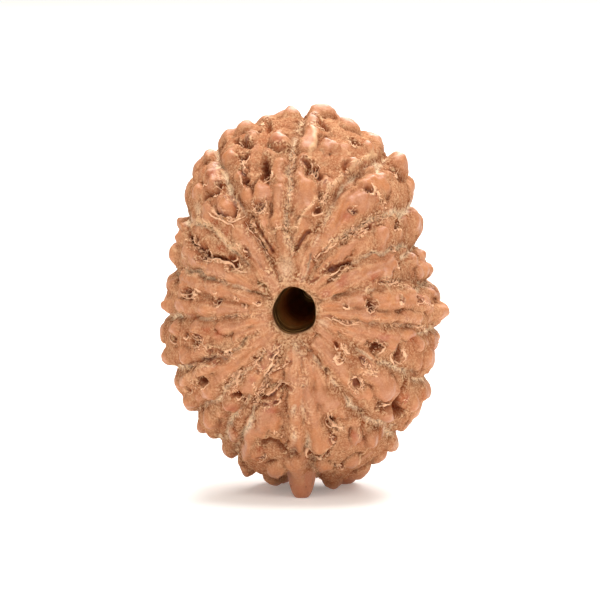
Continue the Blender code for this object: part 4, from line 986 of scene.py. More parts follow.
# Joins two rings of the same count into squares, or a ring to one of twice or half its count into triangles
def ringFaces(startA, countA, startB, countB):
    if countA == countB:
        i = np.arange(countA)
        j = (i + 1) % countA
        return np.concatenate([np.stack([startA + i, startA + j, startB + j], -1),
                               np.stack([startA + i, startB + j, startB + i], -1)])
    coarse, fine = min(countA, countB), max(countA, countB)
    startC, startF = (startA, startB) if countA < countB else (startB, startA)
    i = np.arange(coarse)
    j = (i + 1) % coarse
    a, b, c = 2 * i, 2 * i + 1, (2 * i + 2) % fine
    faces = np.concatenate([np.stack([startC + i, startF + b, startF + a], -1),
                            np.stack([startC + i, startC + j, startF + b], -1),
                            np.stack([startC + j, startF + c, startF + b], -1)])
    return faces if countA < countB else faces[:, ::-1]


# All the rings in a row: each zone's shares at even steps, each ring's angles at even steps, and the last
# ring joined to the first
def ringGrid():
    values, columns = [], []
    for start, end, rows, count in shellGrid["zones"]:
        values.append(np.linspace(start, end, rows, endpoint=False))
        columns.append(np.full(rows, count))
    values, columns = np.concatenate(values), np.concatenate(columns)
    starts = np.concatenate([[0], np.cumsum(columns)])
    angle = np.concatenate([2 * math.pi * np.arange(n) / n for n in columns])
    value = np.repeat(values, columns)
    rings = list(zip(starts, columns))
    faces = [ringFaces(*ring, *following) for ring, following in zip(rings, rings[1:] + rings[:1])]
    return angle, value, np.concatenate(faces)


# A mesh of triangles, from millimetres to metres, with each mask as a value at its points
def meshFrom(name, points, faces, masks):
    mesh = bpy.data.meshes.new(name)
    mesh.vertices.add(len(points))
    mesh.vertices.foreach_set("co", (points / 1000).astype(np.float32).ravel())
    mesh.loops.add(faces.size)
    mesh.loops.foreach_set("vertex_index", faces.astype(np.int32).ravel())
    mesh.polygons.add(len(faces))
    mesh.polygons.foreach_set("loop_start", np.arange(0, faces.size, 3, dtype=np.int32))
    mesh.polygons.foreach_set("use_smooth", np.ones(len(faces), bool))
    for label, values in masks.items():
        mesh.attributes.new(label, "FLOAT", "POINT").data.foreach_set("value", values.astype(np.float32))
    mesh.update(calc_edges=True)
    mesh.validate()
    piece = bpy.data.objects.new(name, mesh)
    bpy.context.scene.collection.objects.link(piece)
    return piece


shellDetail = {
    "warp": 0.20,           # the features' edges wander by this much
    "warpSize": 1.2,
    "ragged": 0.07,         # and by this much at the size of a crumb
    "raggedSize": 0.38,
    "drum": 11,             # radius of the drum that streaks are read on, so that they narrow to the mouth
    "drumAlong": 0.2,       # how fast they change along the bore
    "drumOut": 0.22,        # and outwards
    "streak": 0.10,         # fine bars that run outwards round the mouth
    "streakSize": 0.9,
    "streakStart": 1.25,    # more than 1, so that they are whole for a way before they fade
    "streakOver": 9,
    "wisp": 0.05,           # fibres on them
    "wispFineness": 3.2,
    "wispStart": 1.6,
    "wispOver": 8,
    "wispLeast": 0.25,
    "pebble": 0.12,         # small rounded lumps between the big ones
    "pebbleSize": 1.1,
    "pebbleRound": 1.6,     # how fast a lump falls off from its middle
    "pebbleLow": -0.6,
    "pebbleOnTop": 0.35,
    "pebbleCrease": 0.5,
    "creaseWidth": 0.12,
    "crust": 0.045,         # dried pulp between the nodules, in lumps like sand
    "crustSize": 0.42,
    "crustRound": 2.2,
    "crustLow": -0.4,
    "grain": 0.03,          # fine roughness, too small for the solid
    "grainSize": 0.22,
    "grainOnTop": 0.3,
    "rubbed": 0.8,          # how smooth a top gets
    "rubbedFrom": 1.5,      # and how soon
    "paleEdge": 0.25,       # pulp on the edge of a mouth
    "crumblyEdge": 0.8,
    "crumblyShare": 0.8,
    "footRub": 0.4,         # a foot counts as rubbed where it was drawn down by this much
    "footClean": 0.9,
    "footRed": 0.45,
}


# Fine relief over the solid's own: bars round the mouth, small rounded lumps between the nodules, sandy crust
# and grain. Gives its height, and the masks for the fibres and for how rough each place is.
def fineRelief(points, masks):
    detail = shellDetail
    angle = np.arctan2(points[:, 0], points[:, 2])
    distance = np.hypot(points[:, 0], points[:, 2])
    level = points[:, 1] * detail["drumAlong"] + distance * detail["drumOut"]
    drum = np.stack([detail["drum"] * np.sin(angle), level, detail["drum"] * np.cos(angle)], -1)
    streak = 1 - 2 * np.abs(smoothNoise(drum, detail["streakSize"], 21))
    nearMouth = np.clip(detail["streakStart"] - distance / detail["streakOver"], 0, 1)
    first, second = cellNoise(points, detail["pebbleSize"], 31)
    pebble = np.clip(1 - detail["pebbleRound"] * first ** 2, detail["pebbleLow"], 1)
    crease = band(second - first, 0, detail["creaseWidth"])
    rough = 1 - detail["rubbed"] * np.clip(masks["top"] * detail["rubbedFrom"], 0, 1)
    lump, _ = cellNoise(points, detail["crustSize"], 61)
    crust = np.clip(1 - detail["crustRound"] * lump ** 2, detail["crustLow"], 1)
    crust = crust * patchy(points, "crust") * rough
    fibreFade = np.clip(detail["wispStart"] - distance / detail["wispOver"], detail["wispLeast"], 1)
    wisp = smoothNoise(drum * detail["wispFineness"], detail["streakSize"], 22) * fibreFade
    fine = detail["streak"] * streak * nearMouth + detail["wisp"] * wisp
    pebble = pebble - detail["pebbleCrease"] * crease
    fine += detail["pebble"] * pebble * grown(detail["pebbleOnTop"], rough) * (1 - nearMouth)
    fine += detail["crust"] * crust
    grain = smoothNoise(points, detail["grainSize"], 41)
    fine += detail["grain"] * grain * grown(detail["grainOnTop"], rough)
    return fine, {"wisp": wisp, "rough": rough}


# Moves the points that the relief is read at, so that its edges wander
def warped(points):
    moved = points.copy()
    for share, size, salt in ((shellDetail["warp"], shellDetail["warpSize"], 50),
                              (shellDetail["ragged"], shellDetail["raggedSize"], 54)):
        moved += share * np.stack([smoothNoise(points, size, salt + k) for k in range(3)], -1)
    return moved


# The finished surface over a place on the smooth skin, with the masks there
def finished(skin):
    height, masks = relief(warped(skin))
    fine, fineMasks = fineRelief(skin, masks)
    masks.update(fineMasks)
    fromMouth = mouthGap(skin)
    broken = patchy(skin, "mouth")
    edge = broken * band(fromMouth, 0, shellDetail["paleEdge"])
    crumbly = shellDetail["crumblyShare"] * broken * band(fromMouth, 0, shellDetail["crumblyEdge"])
    masks["pale"] = np.maximum(masks["pale"], edge)
    masks["fringe"] = np.maximum(masks["fringe"], crumbly)
    return shaped(skin, height + fine), masks


# The whole skin and the bore in one closed surface. The feet are rubbed clean, and the bore's colours follow
# the share of its length from the nearer mouth, with painted shade beside the mouths.
def makeShell():
    angle, value, faces = ringGrid()
    inBore = value < -1.0
    points = np.empty((len(angle), 3))
    skin = skinPoint(angle[~inBore], np.abs(value[~inBore]), value[~inBore] < 0)
    points[~inBore], skinMasks = finished(skin)
    points[inBore] = borePoints(angle[inBore], 2 + value[inBore])
    before = points[:, 2].copy()
    points = addFeet(points)
    onFoot = np.clip((before - points[:, 2]) / shellDetail["footRub"], 0, 1)
    points += [0.0, beadForm["alongShift"], beadForm["axisHeight"]]
    masks = {}
    for label, values in skinMasks.items():
        masks[label] = np.zeros(len(angle))
        masks[label][~inBore] = values
    masks["top"] = np.maximum(masks["top"], onFoot)
    for label in ("rough", "pit", "cleft", "fringe"):
        masks[label] *= 1 - shellDetail["footClean"] * onFoot
    # a foot gets no painted shade in low places
    masks["lift"] += onFoot
    masks["red"] = np.maximum(masks["red"], shellDetail["footRed"] * onFoot)
    fromEnd = np.minimum(2 + value, -1 - value)     # as a share of the bore's length
    # the bore's wall is painted dark with shade beside a mouth, and takes its own paler colour further in
    clear = (fromEnd - boreForm["paleFrom"]) * boreForm["paleSteepness"]
    masks["bore"] = np.where(inBore, np.clip(fromEnd / boreForm["darkUntil"], 0, 1), 0.0)
    masks["deep"] = np.where(inBore, np.clip(clear, 0, 1), 0.0)
    piece = meshFrom("beadShell", points, faces, masks)
    print("shell:", len(points), "points,", len(faces), "triangles")
    return piece


crumbForm = {
    "sides": 6,
    "ringRadius": 0.87,         # of the two rings between a crumb's ends, in its half sizes
    "length": (0.08, 0.18),     # half lengths of the short crumbs
    "flakes": 0.45,             # share of the crumbs that are flakes and threads
    "flakeLength": (0.18, 0.38),
    "width": (0.04, 0.085),     # halves too, and so is the thickness
    "thickness": (0.03, 0.06),
    "bend": 0.9,                # how far a flake curls
    "uncurled": -0.4,           # the least of its curl, the other way
    "ragged": 0.22,
    "astray": 0.45,             # how far a crumb turns from its trail
    "tilt": 0.35,
    "raised": 0.35,             # height of its middle over the skin, in half thicknesses
    "trailSpread": 0.6,         # of the listed spreads
    "pitRing": 0.4,             # radius of the crumbs' ring in a pit, by its half width and length together
    "inPit": 3,
    "ringUneven": 0.2,
    "ringAstray": 0.5,
    "strewn": 900,              # along the clefts of the sides and the back
    "strewnSpread": 0.22,
    "offMouth": 0.5,            # none lies nearer to the mouth's edge than this
    "lowest": 0.02,             # over the floor
    "seed": 5,
}


# Places scattered along a line of points, by a share of one of its legs and a random spread, with the
# direction of that leg
def alongLine(line, leg, part, spread, generator):
    way = (line[1:] - line[:-1])[leg]
    return line[leg] + part * way + generator.normal(0, spread, (len(leg), 3)), way


# Where the crumbs lie: along the trails, round the rings and along the clefts, each place moved by a random
# spread, with the direction of the trail there
def crumbAnchors(generator):
    places, along = [], []
    for path, spread, density in crumbTrails:
        line = pathOnSkin(path)
        steps = np.linalg.norm(np.diff(line, axis=0), axis=1)
        count = max(3, int(steps.sum() * density))
        leg = generator.choice(len(steps), count, p=steps / steps.sum())
        part = generator.uniform(0, 1, (count, 1))
        spots, way = alongLine(line, leg, part, spread * crumbForm["trailSpread"], generator)
        places.append(spots)
        along.append(way)
    inPits = [(b, d, crumbForm["pitRing"] * (w + l), crumbForm["inPit"]) for b, d, w, l, _ in pits]
    for bearing, distance, radius, count in crumbRings + tuple(inPits):
        middle = spotOnSkin(bearing, distance)
        normal = outward(middle[None])[0]
        aside = np.cross(normal, [0.0, 1.0, 0.2])       # any direction that isn't the normal's own will do
        aside /= np.linalg.norm(aside)
        turn = generator.uniform(0, 2 * math.pi, (count, 1))
        spoke = aside * np.cos(turn) + np.cross(normal, aside) * np.sin(turn)
        places.append(middle + spoke * radius * generator.normal(1, crumbForm["ringUneven"], (count, 1)))
        astray = crumbForm["ringAstray"] * generator.normal(0, 1, (count, 3))
        along.append(np.cross(normal, spoke) + astray)
    backPaths, _ = backCleftPaths(np.random.default_rng(beadForm["seed"]))
    lines = [path for path in backPaths if len(path) == backForm["cleftPoints"]]
    for line in lines:
        count = crumbForm["strewn"] // len(lines)
        leg = generator.integers(0, len(line) - 1, count)
        part = generator.uniform(0, 1, (count, 1))
        spots, way = alongLine(line, leg, part, crumbForm["strewnSpread"], generator)
        places.append(spots)
        along.append(way)
    return np.concatenate(places), np.concatenate(along)


# Puts a place near the bead back on to its smooth skin, by its angle and the turn that its distance and its
# depth give together
def toSkin(points):
    angle = np.arctan2(points[:, 0], points[:, 2])
    back = points[:, 1] > 0
    mouth = mouthRadius(angle, back)
    share = np.clip((np.hypot(points[:, 0], points[:, 2]) - mouth) / (outlineRadius(angle) - mouth), 0, 1)
    height = np.clip(np.abs(points[:, 1]) / beadForm["halfDepth"], 0, 1)
    power = beadForm["profilePower"]
    turn = np.arctan2(height ** (power / 2), share ** (power / 2)) * 2 / math.pi
    return skinPoint(angle, turn, back)


ribbonForm = {
    "samples": 32,
    "sides": 6,
    "lipPoints": 7,
    "lipRadius": 1.0,           # of the lips round the pits, in half widths of the pit
    "lipUneven": (0.8, 1.15),
    "lipTurn": (1.6, 3.4),      # radians of the pit's edge that a lip follows
    "lipMiddle": 1.5 * math.pi,     # at the pit's lower edge
    "lipAstray": 0.7,           # radians to either side of it
    "lipWidth": (0.05, 0.11),   # half widths, as in the list
    "thickness": 0.05,          # half of it
    "lift": 0.06,
    "wander": 0.16,             # sideways, along its length
    "wanderSize": 0.35,
    "uneven": 0.9,              # of its width
    "unevenSize": 0.22,
    "curl": 0.9,                # radians, to either side
    "curlSize": 0.4,
    "endPower": 0.5,            # less than 1 makes the ends blunter
    "evenings": 2,              # times that its course is averaged with its neighbours
    "seed": 9,
}


# An arc of skin along the lower edge of each pit: points round the pit's middle, turned back to bearings and
# distances
def pitLips(generator):
    lipPaths = []
    spots = [(b, d, 0.5 * (w + l)) for b, d, w, l, _ in pits] + [(b, d, w) for b, d, w, _ in finePits]
    count = ribbonForm["lipPoints"]
    for bearing, distance, halfWidth in spots:
        turn = generator.uniform(*ribbonForm["lipTurn"])
        middle = ribbonForm["lipMiddle"] + generator.normal(0, ribbonForm["lipAstray"])
        around = np.linspace(middle - turn / 2, middle + turn / 2, count)
        radius = ribbonForm["lipRadius"] * halfWidth * generator.uniform(*ribbonForm["lipUneven"], count)
        across = distance * math.sin(math.radians(bearing)) + radius * np.cos(around)
        upwards = distance * math.cos(math.radians(bearing)) + radius * np.sin(around)
        path = np.stack([np.degrees(np.arctan2(across, upwards)), np.hypot(across, upwards)], -1)
        lipPaths.append((path, generator.uniform(*ribbonForm["lipWidth"])))
    return lipPaths


# The ribbons' courses: the same count of points along each, at even steps, moved aside by smooth noise, put
# on the finished surface and evened out
def ribbonCourses(every):
    samples = ribbonForm["samples"]
    lines = []
    for path, _ in every:
        line = pathOnSkin(path)
        reach = np.concatenate([[0], np.cumsum(np.linalg.norm(np.diff(line, axis=0), axis=1))])
        at = np.linspace(0, reach[-1], samples)
        lines.append(np.stack([np.interp(at, reach, line[:, k]) for k in range(3)], -1))
    flat = np.concatenate(lines)
    shift = [smoothNoise(flat, ribbonForm["wanderSize"], 70 + k) for k in range(3)]
    skin = toSkin(flat + ribbonForm["wander"] * np.stack(shift, -1))
    skin = toSkin(2 * skin - warped(skin))
    surface, _ = finished(skin)
    normal = outward(skin).reshape(-1, samples, 3)
    surface = surface.reshape(-1, samples, 3) + ribbonForm["lift"] * normal
    for _ in range(ribbonForm["evenings"]):
        surface[:, 1:-1] = (surface[:, :-2] + 2 * surface[:, 1:-1] + surface[:, 2:]) / 4
    return flat, surface, normal


# Skins of pulp along the cracks: each is a flat tube drawn along its path over the surface, pointed at both
# ends, with its width, its course and its tilt varied smoothly
def ribbonMesh():
    samples, sides = ribbonForm["samples"], ribbonForm["sides"]
    every = list(ribbons) + pitLips(np.random.default_rng(ribbonForm["seed"]))
    flat, surface, normal = ribbonCourses(every)
    count = len(every)
    along = np.gradient(surface, axis=1)
    side = np.cross(normal, along)
    side /= np.linalg.norm(side, axis=2, keepdims=True)
    upright = np.cross(along, side)
    upright /= np.linalg.norm(upright, axis=2, keepdims=True)
    curl = ribbonForm["curl"] * smoothNoise(flat, ribbonForm["curlSize"], 75).reshape(count, samples, 1)
    edge = side * np.cos(curl) + upright * np.sin(curl)
    face = upright * np.cos(curl) - side * np.sin(curl)
    pointed = np.clip(np.sin(math.pi * np.linspace(0, 1, samples)), 0, 1) ** ribbonForm["endPower"]
    uneven = smoothNoise(flat, ribbonForm["unevenSize"], 76).reshape(count, samples)
    wide = np.array([width for _, width in every])[:, None] * pointed * (1 + ribbonForm["uneven"] * uneven)
    turn = 2 * math.pi * np.arange(sides) / sides
    rim = edge[:, :, None] * (wide[:, :, None] * np.cos(turn))[..., None]
    rim += face[:, :, None] * (ribbonForm["thickness"] * pointed[:, None] * np.sin(turn))[None, ..., None]
    rings = (surface[:, :, None] + rim)[:, 1:-1].reshape(count, -1, 3)
    points = np.concatenate([surface[:, :1], rings, surface[:, -1:]], 1)
    return points.reshape(-1, 3), repeated(tubeFaces(samples - 2, sides), count, points.shape[1])


# Triangles of a closed tube: a pole, its rings of the same count, and the other pole. Each two rings are
# joined into squares of two triangles.
def tubeFaces(rings, sides):
    i = np.arange(sides)
    j = (i + 1) % sides
    last = 1 + rings * sides
    faces = [np.stack([np.zeros_like(i), 1 + j, 1 + i], -1)]
    for ring in range(rings - 1):
        low, high = 1 + ring * sides, 1 + (ring + 1) * sides
        faces.append(np.stack([low + i, low + j, high + i], -1))
        faces.append(np.stack([low + j, high + j, high + i], -1))
    faces.append(np.stack([last - sides + i, last - sides + j, np.full_like(i, last)], -1))
    return np.concatenate(faces)


# The faces of one shape, repeated for a count of shapes whose points follow one another
def repeated(faces, count, pointCount):
    return (faces[None] + (np.arange(count) * pointCount)[:, None, None]).reshape(-1, 3)


# Crumbs and flakes of pulp that dried on. Each is a ball of two rings and two poles, flattened on to the
# skin, drawn out along its trail, bent over its length and dented at random.
def makeCrumbs():
    generator = np.random.default_rng(crumbForm["seed"])
    places, along = crumbAnchors(generator)
    skin = toSkin(places)
    skin = toSkin(2 * skin - warped(skin))
    surface, _ = finished(skin)
    fromAxis = np.hypot(skin[:, 0], skin[:, 2])
    keep = fromAxis > mouthRadius(0.0, False) + crumbForm["offMouth"]
    surface, along, normal = surface[keep], along[keep], outward(skin)[keep]
    count = len(surface)
    sides = crumbForm["sides"]
    halfStep = 0.5 * (np.arange(2 * sides) >= sides)
    turn = 2 * math.pi * (np.arange(2 * sides) + halfStep) / sides
    radius, level = crumbForm["ringRadius"], np.repeat([-0.5, 0.5], sides)
    ring = np.stack([radius * np.cos(turn), radius * np.sin(turn), level], -1)
    ball = np.concatenate([[[0, 0, -1.0]], ring, [[0, 0, 1.0]]])
    isFlake = generator.uniform(0, 1, count) < crumbForm["flakes"]
    long = np.where(isFlake, generator.uniform(*crumbForm["flakeLength"], count),
                    generator.uniform(*crumbForm["length"], count))
    size = np.stack([long, generator.uniform(*crumbForm["width"], count),
                     generator.uniform(*crumbForm["thickness"], count)], -1)
    shape = ball * (1 + crumbForm["ragged"] * generator.normal(0, 1, (count, len(ball), 1)))
    shape = shape * size[:, None, :]
    bend = crumbForm["bend"] * generator.uniform(crumbForm["uncurled"], 1, (count, 1))
    shape[:, :, 2] -= bend * shape[:, :, 0] ** 2 / long[:, None]
    along = along - (along * normal).sum(1, keepdims=True) * normal
    astray = crumbForm["astray"] * np.linalg.norm(along, axis=1, keepdims=True)
    along += astray * generator.normal(0, 1, (count, 3))
    tilted = normal + crumbForm["tilt"] * generator.normal(0, 1, (count, 3))
    tilted /= np.linalg.norm(tilted, axis=1, keepdims=True)
    along -= (along * tilted).sum(1, keepdims=True) * tilted
    along /= np.linalg.norm(along, axis=1, keepdims=True)
    axes = np.stack([along, np.cross(tilted, along), tilted], 1)
    lifted = surface[:, None] + normal[:, None] * (crumbForm["raised"] * size[:, None, 2:])
    points = lifted + shape @ axes
    faces = repeated(tubeFaces(2, sides), count, len(ball))
    tone = np.repeat(generator.uniform(0, 1, count), len(ball))
    skins, skinFaces = ribbonMesh()
    faces = np.concatenate([faces, skinFaces + count * len(ball)])
    tone = np.concatenate([tone, np.full(len(skins), crumbFinish["skinTone"])])
    points = np.concatenate([points.reshape(-1, 3), skins])
    points += [0.0, beadForm["alongShift"], beadForm["axisHeight"]]
    points[:, 2] = np.maximum(points[:, 2], crumbForm["lowest"])
    piece = meshFrom("pulpCrumbs", points, faces, {"tone": tone})
    print("crumbs:", count, "with", len(faces), "triangles")
    return piece


# An sRGB hex colour as linear red, green and blue
def toLinear(code, alpha=1.0):
    parts = [int(code[i:i + 2], 16) / 255 for i in (1, 3, 5)]
    return [c / 12.92 if c <= 0.04045 else ((c + 0.055) / 1.055) ** 2.4 for c in parts] + [alpha]


# Adds a node, sets its sockets and properties, and joins the sockets that are given as links
def addNode(tree, kind, settings=None, **sockets):
    node = tree.nodes.new(kind)
    for name, value in (settings or {}).items():
        setattr(node, name, value)
    for name, value in sockets.items():
        socket = node.inputs[int(name[1:])] if name[0] == "i" and name[1:].isdigit() else node.inputs[name]
        if isinstance(value, bpy.types.NodeSocket):
            tree.links.new(value, socket)
        else:
            socket.default_value = value
    return node


# The first colour where the share is 0 and the second where it is 1. Each is a hex value or a link.
def mixed(tree, share, first, second):
    node = addNode(tree, "ShaderNodeMix", {"data_type": "RGBA"}, i0=share)
    for slot, colour in ((6, first), (7, second)):
        if isinstance(colour, str):
            node.inputs[slot].default_value = toLinear(colour)
        else:
            tree.links.new(colour, node.inputs[slot])
    return node.outputs[2]


# The low end becomes outLow and the high end outHigh, with an even slope between them
def ranged(tree, value, low, high, outLow=0.0, outHigh=1.0):
    node = addNode(tree, "ShaderNodeMapRange", None, i0=value, i1=low, i2=high, i3=outLow, i4=outHigh)
    return node.outputs[0]


def mask(tree, label):
    return addNode(tree, "ShaderNodeAttribute", {"attribute_name": label}).outputs["Fac"]


# Noise with lumps of the given size in millimetres
def noise(tree, place, size, detail):
    node = addNode(tree, "ShaderNodeTexNoise", None, Vector=place, Scale=1000 / size, Detail=detail)
    return node.outputs["Fac"]


shellFinish = {
    "ground": "#AE7957",        # the dry outer wood between the nodules
    "groundRed": "#A36848",
    "ridge": "#AB6C45",         # rubbed tops, tan to orange
    "ridgeOrange": "#B06835",
    "wisp": "#94603F",          # fibres that run outwards
    "speck": "#DCB48B",         # grains of dried pulp
    "paintedShade": "#551D05",         # painted shade: in low places, in creases, between the grains and between the crumbs
    "lip": "#DFB58B",
    "dust": "#EED6B4",
    "cleftShade": "#4A2C10",          # painted shade along the bottom of a cleft
    "blush": "#96452A",
    # the red-brown of pits and cracks: pitEdge where shallow, pit where deepest, darker there for painted
    # shade
    "pit": "#581A03",
    "pitEdge": "#853C18",
    "bore": "#3C2611",          # painted shade: the wall dark beside the mouth
    "boreDeep": "#C07C3C",
    "boreFibre": "#C9985C",
    "noises": {                 # size in millimetres, and how fine their detail is
        "blotch": (2.6, 4.0),
        "speck": (0.16, 2.0),
        "fibre": (0.5, 3.0),
        "crumbly": (0.24, 3.0),
    },
    "masks": ("wisp", "red", "lift", "crease", "cleft", "cleftShade", "pale", "fringe", "pit"),
    "topRamp": (0.25, 0.75),
    "roughRamp": (0.0, 1.0, 0.12, 1.0),
    "dustRamp": (0.40, 0.56, 0.5, 1.0),
    "grounds": ("ground", "groundRed", 0.38, 0.62),     # two colours, and where the first turns to the second
    "tops": ("ridgeOrange", "ridge", 0.42, 0.58),
    # the pits turn darker where they are deeper: painted shade
    "pits": ("pitEdge", "pit", 0.5, 0.9),
    "layers": (                 # what limits it, what it reads, its start and end, its cover there, colour
        ("", "fibre", 0.52, 0.70, 0.35, "speck"),
        ("", "top", 0.0, 1.0, 0.75, "tops"),
        ("", "wisp", 0.0, 0.6, 0.4, "wisp"),
        ("", "wisp", 0.0, -0.6, 0.2, "speck"),
        ("", "red", 0.1, 0.9, 0.65, "blush"),
        # painted shade in low places: the lower the relief, the darker
        ("", "lift", 0.05, -0.5, 0.5, "paintedShade"),
        # painted shade in the creases round the nodules
        ("", "crease", 0.1, 0.9, 0.7, "paintedShade"),
        ("dusty", "cleft", 0.1, 0.9, 0.85, "dust"),
        # painted shade along the clefts' bottoms
        ("", "cleftShade", 0.1, 0.8, 0.85, "cleftShade"),
        ("rough", "speck", 0.50, 0.66, 0.32, "speck"),
        # painted shade between the grains
        ("rough", "speck", 0.46, 0.34, 0.36, "paintedShade"),
        ("", "pale", 0.2, 0.9, 0.6, "lip"),
        ("fringe", "crumbly", 0.50, 0.58, 0.9, "lip"),
        # painted shade between the crumbs
        ("fringe", "crumbly", 0.46, 0.38, 0.65, "paintedShade"),
    ),
    "pitCover": (0.35, 0.6, 0.95, 0.7),         # crumbs in a pit leave less of it dark
    "drillStretch": 0.25,       # the drill's marks run round the bore
    "drillRamp": (0.52, 0.66, 0.0, 0.5),
    "matt": 0.72,
    "satin": 0.48,
    "dullGlint": 0.0,           # dust and open wood don't mirror
    "topGlint": 0.5,
    "bumpHeight": 0.06,         # millimetres
    "bumpRamp": (0.4, 0.6, 0.0, 1.6),           # crumbly places stand higher than grains
}


# Rudraksha: the woody stone of a fruit, boiled, brushed clean of pulp and dried. The brush rubs the nodules'
# tops smooth, orange and faintly satin. Between them a dry, sandy skin stays, tan with pale grains, dusty in
# the clefts and dark red in the pits that the fibres left.
# Shade is painted in as well: dark in low places, in creases, along the clefts' bottoms, between grains and
# crumbs, deeper in the pits and cracks, and in the bore beside the mouths.
def shellMaterial():
    finish = shellFinish
    material = bpy.data.materials.new("brushedFruitStone")
    material.use_nodes = True
    tree = material.node_tree
    shader = tree.nodes["Principled BSDF"]
    place = addNode(tree, "ShaderNodeTexCoord").outputs["Object"]
    read = {name: noise(tree, place, *sizes) for name, sizes in finish["noises"].items()}
    read.update({label: mask(tree, label) for label in finish["masks"]})
    read["top"] = ranged(tree, mask(tree, "top"), *finish["topRamp"])
    read["rough"] = ranged(tree, mask(tree, "rough"), *finish["roughRamp"])
    read["dusty"] = ranged(tree, read["crumbly"], *finish["dustRamp"])

    def product(first, second):
        return addNode(tree, "ShaderNodeMath", {"operation": "MULTIPLY"}, i0=first, i1=second).outputs[0]

    def turned(value, first, second, low, high):
        return mixed(tree, ranged(tree, value, low, high), finish[first], finish[second])

    tints = dict(finish, tops=turned(read["blotch"], *finish["tops"]))
    colour = turned(read["blotch"], *finish["grounds"])
    for limit, label, low, high, cover, tint in finish["layers"]:
        share = ranged(tree, read[label], low, high, 0.0, cover)
        if limit:
            share = product(read[limit], share)
        colour = mixed(tree, share, colour, tints[tint])
    hollow = product(read["pit"], ranged(tree, read["crumbly"], *finish["pitCover"]))
    colour = mixed(tree, hollow, colour, turned(read["pit"], *finish["pits"]))
    stretch = (finish["drillStretch"], 1.0, finish["drillStretch"])
    along = addNode(tree, "ShaderNodeMapping", None, Vector=place, Scale=stretch).outputs["Vector"]
    drilled = noise(tree, along, *finish["noises"]["fibre"])
    # the bore's wall: painted shade beside the mouths, its own paler colour further in
    wall = mixed(tree, mask(tree, "deep"), finish["bore"], finish["boreDeep"])
    wall = mixed(tree, ranged(tree, drilled, *finish["drillRamp"]), wall, finish["boreFibre"])
    colour = mixed(tree, mask(tree, "bore"), colour, wall)
    tree.links.new(colour, shader.inputs["Base Color"])
    shine = ranged(tree, read["top"], 0.0, 1.0, finish["matt"], finish["satin"])
    tree.links.new(shine, shader.inputs["Roughness"])
    glint = ranged(tree, read["top"], 0.0, 1.0, finish["dullGlint"], finish["topGlint"])
    tree.links.new(glint, shader.inputs["Specular IOR Level"])
    grainy = product(read["rough"], read["speck"])
    heaped = product(read["fringe"], ranged(tree, read["crumbly"], *finish["bumpRamp"]))
    raised = addNode(tree, "ShaderNodeMath", {"operation": "ADD"}, i0=grainy, i1=heaped).outputs[0]
    height = finish["bumpHeight"] / 1000
    bump = addNode(tree, "ShaderNodeBump", None, Height=raised, Strength=1.0, Distance=height)
    tree.links.new(bump.outputs["Normal"], shader.inputs["Normal"])
    return material


crumbFinish = {
    "pale": "#DFB08C",
    "brown": "#A26B42",
    "brownFrom": 0.45,          # of the crumbs' tones, which run from 0 to 1
    "skinTone": 0.3,            # the curled skins' tone
    "roughness": 0.8,
    "glint": 0.1,
}


# Dried fruit pulp: thin skin and fibre that curled and bleached as it dried, so it is matt and straw pale.
def crumbMaterial():
    material = bpy.data.materials.new("driedPulp")
    material.use_nodes = True
    tree = material.node_tree
    shader = tree.nodes["Principled BSDF"]
    tone = mask(tree, "tone")
    browned = ranged(tree, tone, crumbFinish["brownFrom"], 1.0)
    colour = mixed(tree, browned, crumbFinish["pale"], crumbFinish["brown"])
    tree.links.new(colour, shader.inputs["Base Color"])
    shader.inputs["Roughness"].default_value = crumbFinish["roughness"]
    shader.inputs["Specular IOR Level"].default_value = crumbFinish["glint"]
    return material


floorForm = {
    "halfSide": 4.0,            # metres
    "colour": "#F4F3F1",
    "roughness": 0.6,
    "glow": "#FFFDFA",          # a sheet of white acrylic that is lit through
    "glowStrength": 0.18,
}


def makeFloor():
    mesh = bpy.data.meshes.new("floor")
    side = floorForm["halfSide"]
    corners = [(-side, -side, 0), (side, -side, 0), (side, side, 0), (-side, side, 0)]
    mesh.from_pydata(corners, [], [(0, 1, 2, 3)])
    floor = bpy.data.objects.new("floor", mesh)
    bpy.context.scene.collection.objects.link(floor)
    material = bpy.data.materials.new("paleTable")
    material.use_nodes = True
    shader = material.node_tree.nodes["Principled BSDF"]
    shader.inputs["Base Color"].default_value = toLinear(floorForm["colour"])
    shader.inputs["Roughness"].default_value = floorForm["roughness"]
    shader.inputs["Emission Color"].default_value = toLinear(floorForm["glow"])
    shader.inputs["Emission Strength"].default_value = floorForm["glowStrength"]
    mesh.materials.append(material)


lighting = {
    "lamps": {                  # place in metres, size in metres, watts
        "softboxAbove": ((0.03, 0.06, 0.45), 0.4, 2.8),
        "softboxFront": ((0.20, -0.50, 0.38), 0.4, 1.75),
        "softboxLeft": ((-0.5, -0.30, 0.25), 0.3, 0.4),
        "softboxBehind": ((0.10, 0.90, 0.70), 0.6, 8.0),
    },
    "aim": (0, 0, 0.018),       # metres
    "room": (1, 0.98, 0.90, 1),         # linear, a warm white
    "roomStrength": 0.52,
}


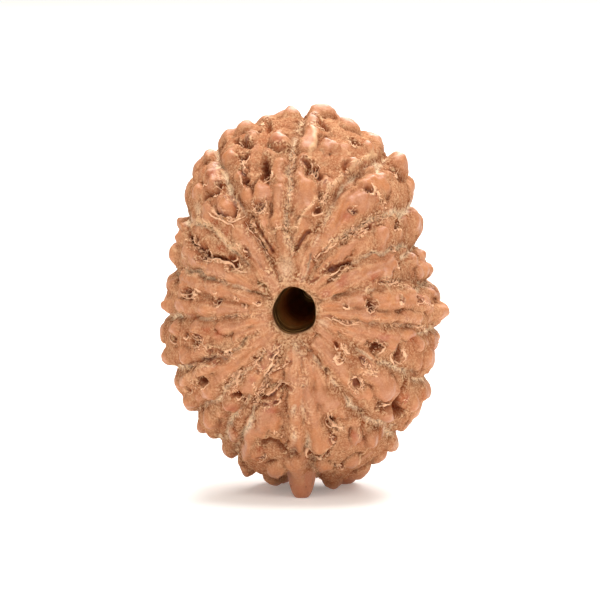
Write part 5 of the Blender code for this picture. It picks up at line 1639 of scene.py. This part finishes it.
def makeLights():
    for name, (place, size, watts) in lighting["lamps"].items():
        light = bpy.data.lights.new(name, "AREA")
        light.shape = "DISK"
        light.size = size
        light.energy = watts
        lamp = bpy.data.objects.new(name, light)
        lamp.location = place
        lamp.rotation_euler = (Vector(lighting["aim"]) - Vector(place)).to_track_quat("-Z", "Y").to_euler()
        bpy.context.scene.collection.objects.link(lamp)
    world = bpy.data.worlds.new("softRoom")
    world.use_nodes = True
    world.node_tree.nodes["Background"].inputs["Color"].default_value = lighting["room"]
    world.node_tree.nodes["Background"].inputs["Strength"].default_value = lighting["roomStrength"]
    bpy.context.scene.world = world


cameraPlace = {
    "azimuth": 5.0,
    "elevation": 6.0,
    "distance": 450.0,
    "lens": 280.0,
    "aimAcross": -0.47,
    "aimUp": -0.16,
    "nearest": 0.01,            # metres
}


# The camera looks from its azimuth and elevation at the bead's middle, moved a little across and up
def makeCamera():
    turn, rise = math.radians(cameraPlace["azimuth"]), math.radians(cameraPlace["elevation"])
    towards = Vector((math.sin(turn) * math.cos(rise), -math.cos(turn) * math.cos(rise), math.sin(rise)))
    right = Vector((math.cos(turn), math.sin(turn), 0))
    up = towards.cross(right)
    aim = Vector((0, beadForm["alongShift"], beadForm["axisHeight"]))
    aim += right * cameraPlace["aimAcross"] + up * cameraPlace["aimUp"]
    data = bpy.data.cameras.new("camera")
    data.lens = cameraPlace["lens"]
    data.clip_start = cameraPlace["nearest"]
    camera = bpy.data.objects.new("camera", data)
    camera.location = (aim + towards * cameraPlace["distance"]) / 1000
    camera.rotation_mode = "QUATERNION"
    camera.rotation_quaternion = (-towards).to_track_quat("-Z", "Y")
    bpy.context.scene.collection.objects.link(camera)
    bpy.context.scene.camera = camera


bpy.context.scene.view_settings.view_transform = "Standard"
shell = makeShell()
shell.data.materials.append(shellMaterial())
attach(shell, "root")
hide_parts("bead")
print("shell dressed")
crumbs = makeCrumbs()
crumbs.data.materials.append(crumbMaterial())
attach(crumbs, "root")
print("crumbs dressed")
makeFloor()
makeLights()
makeCamera()
print("stage set")
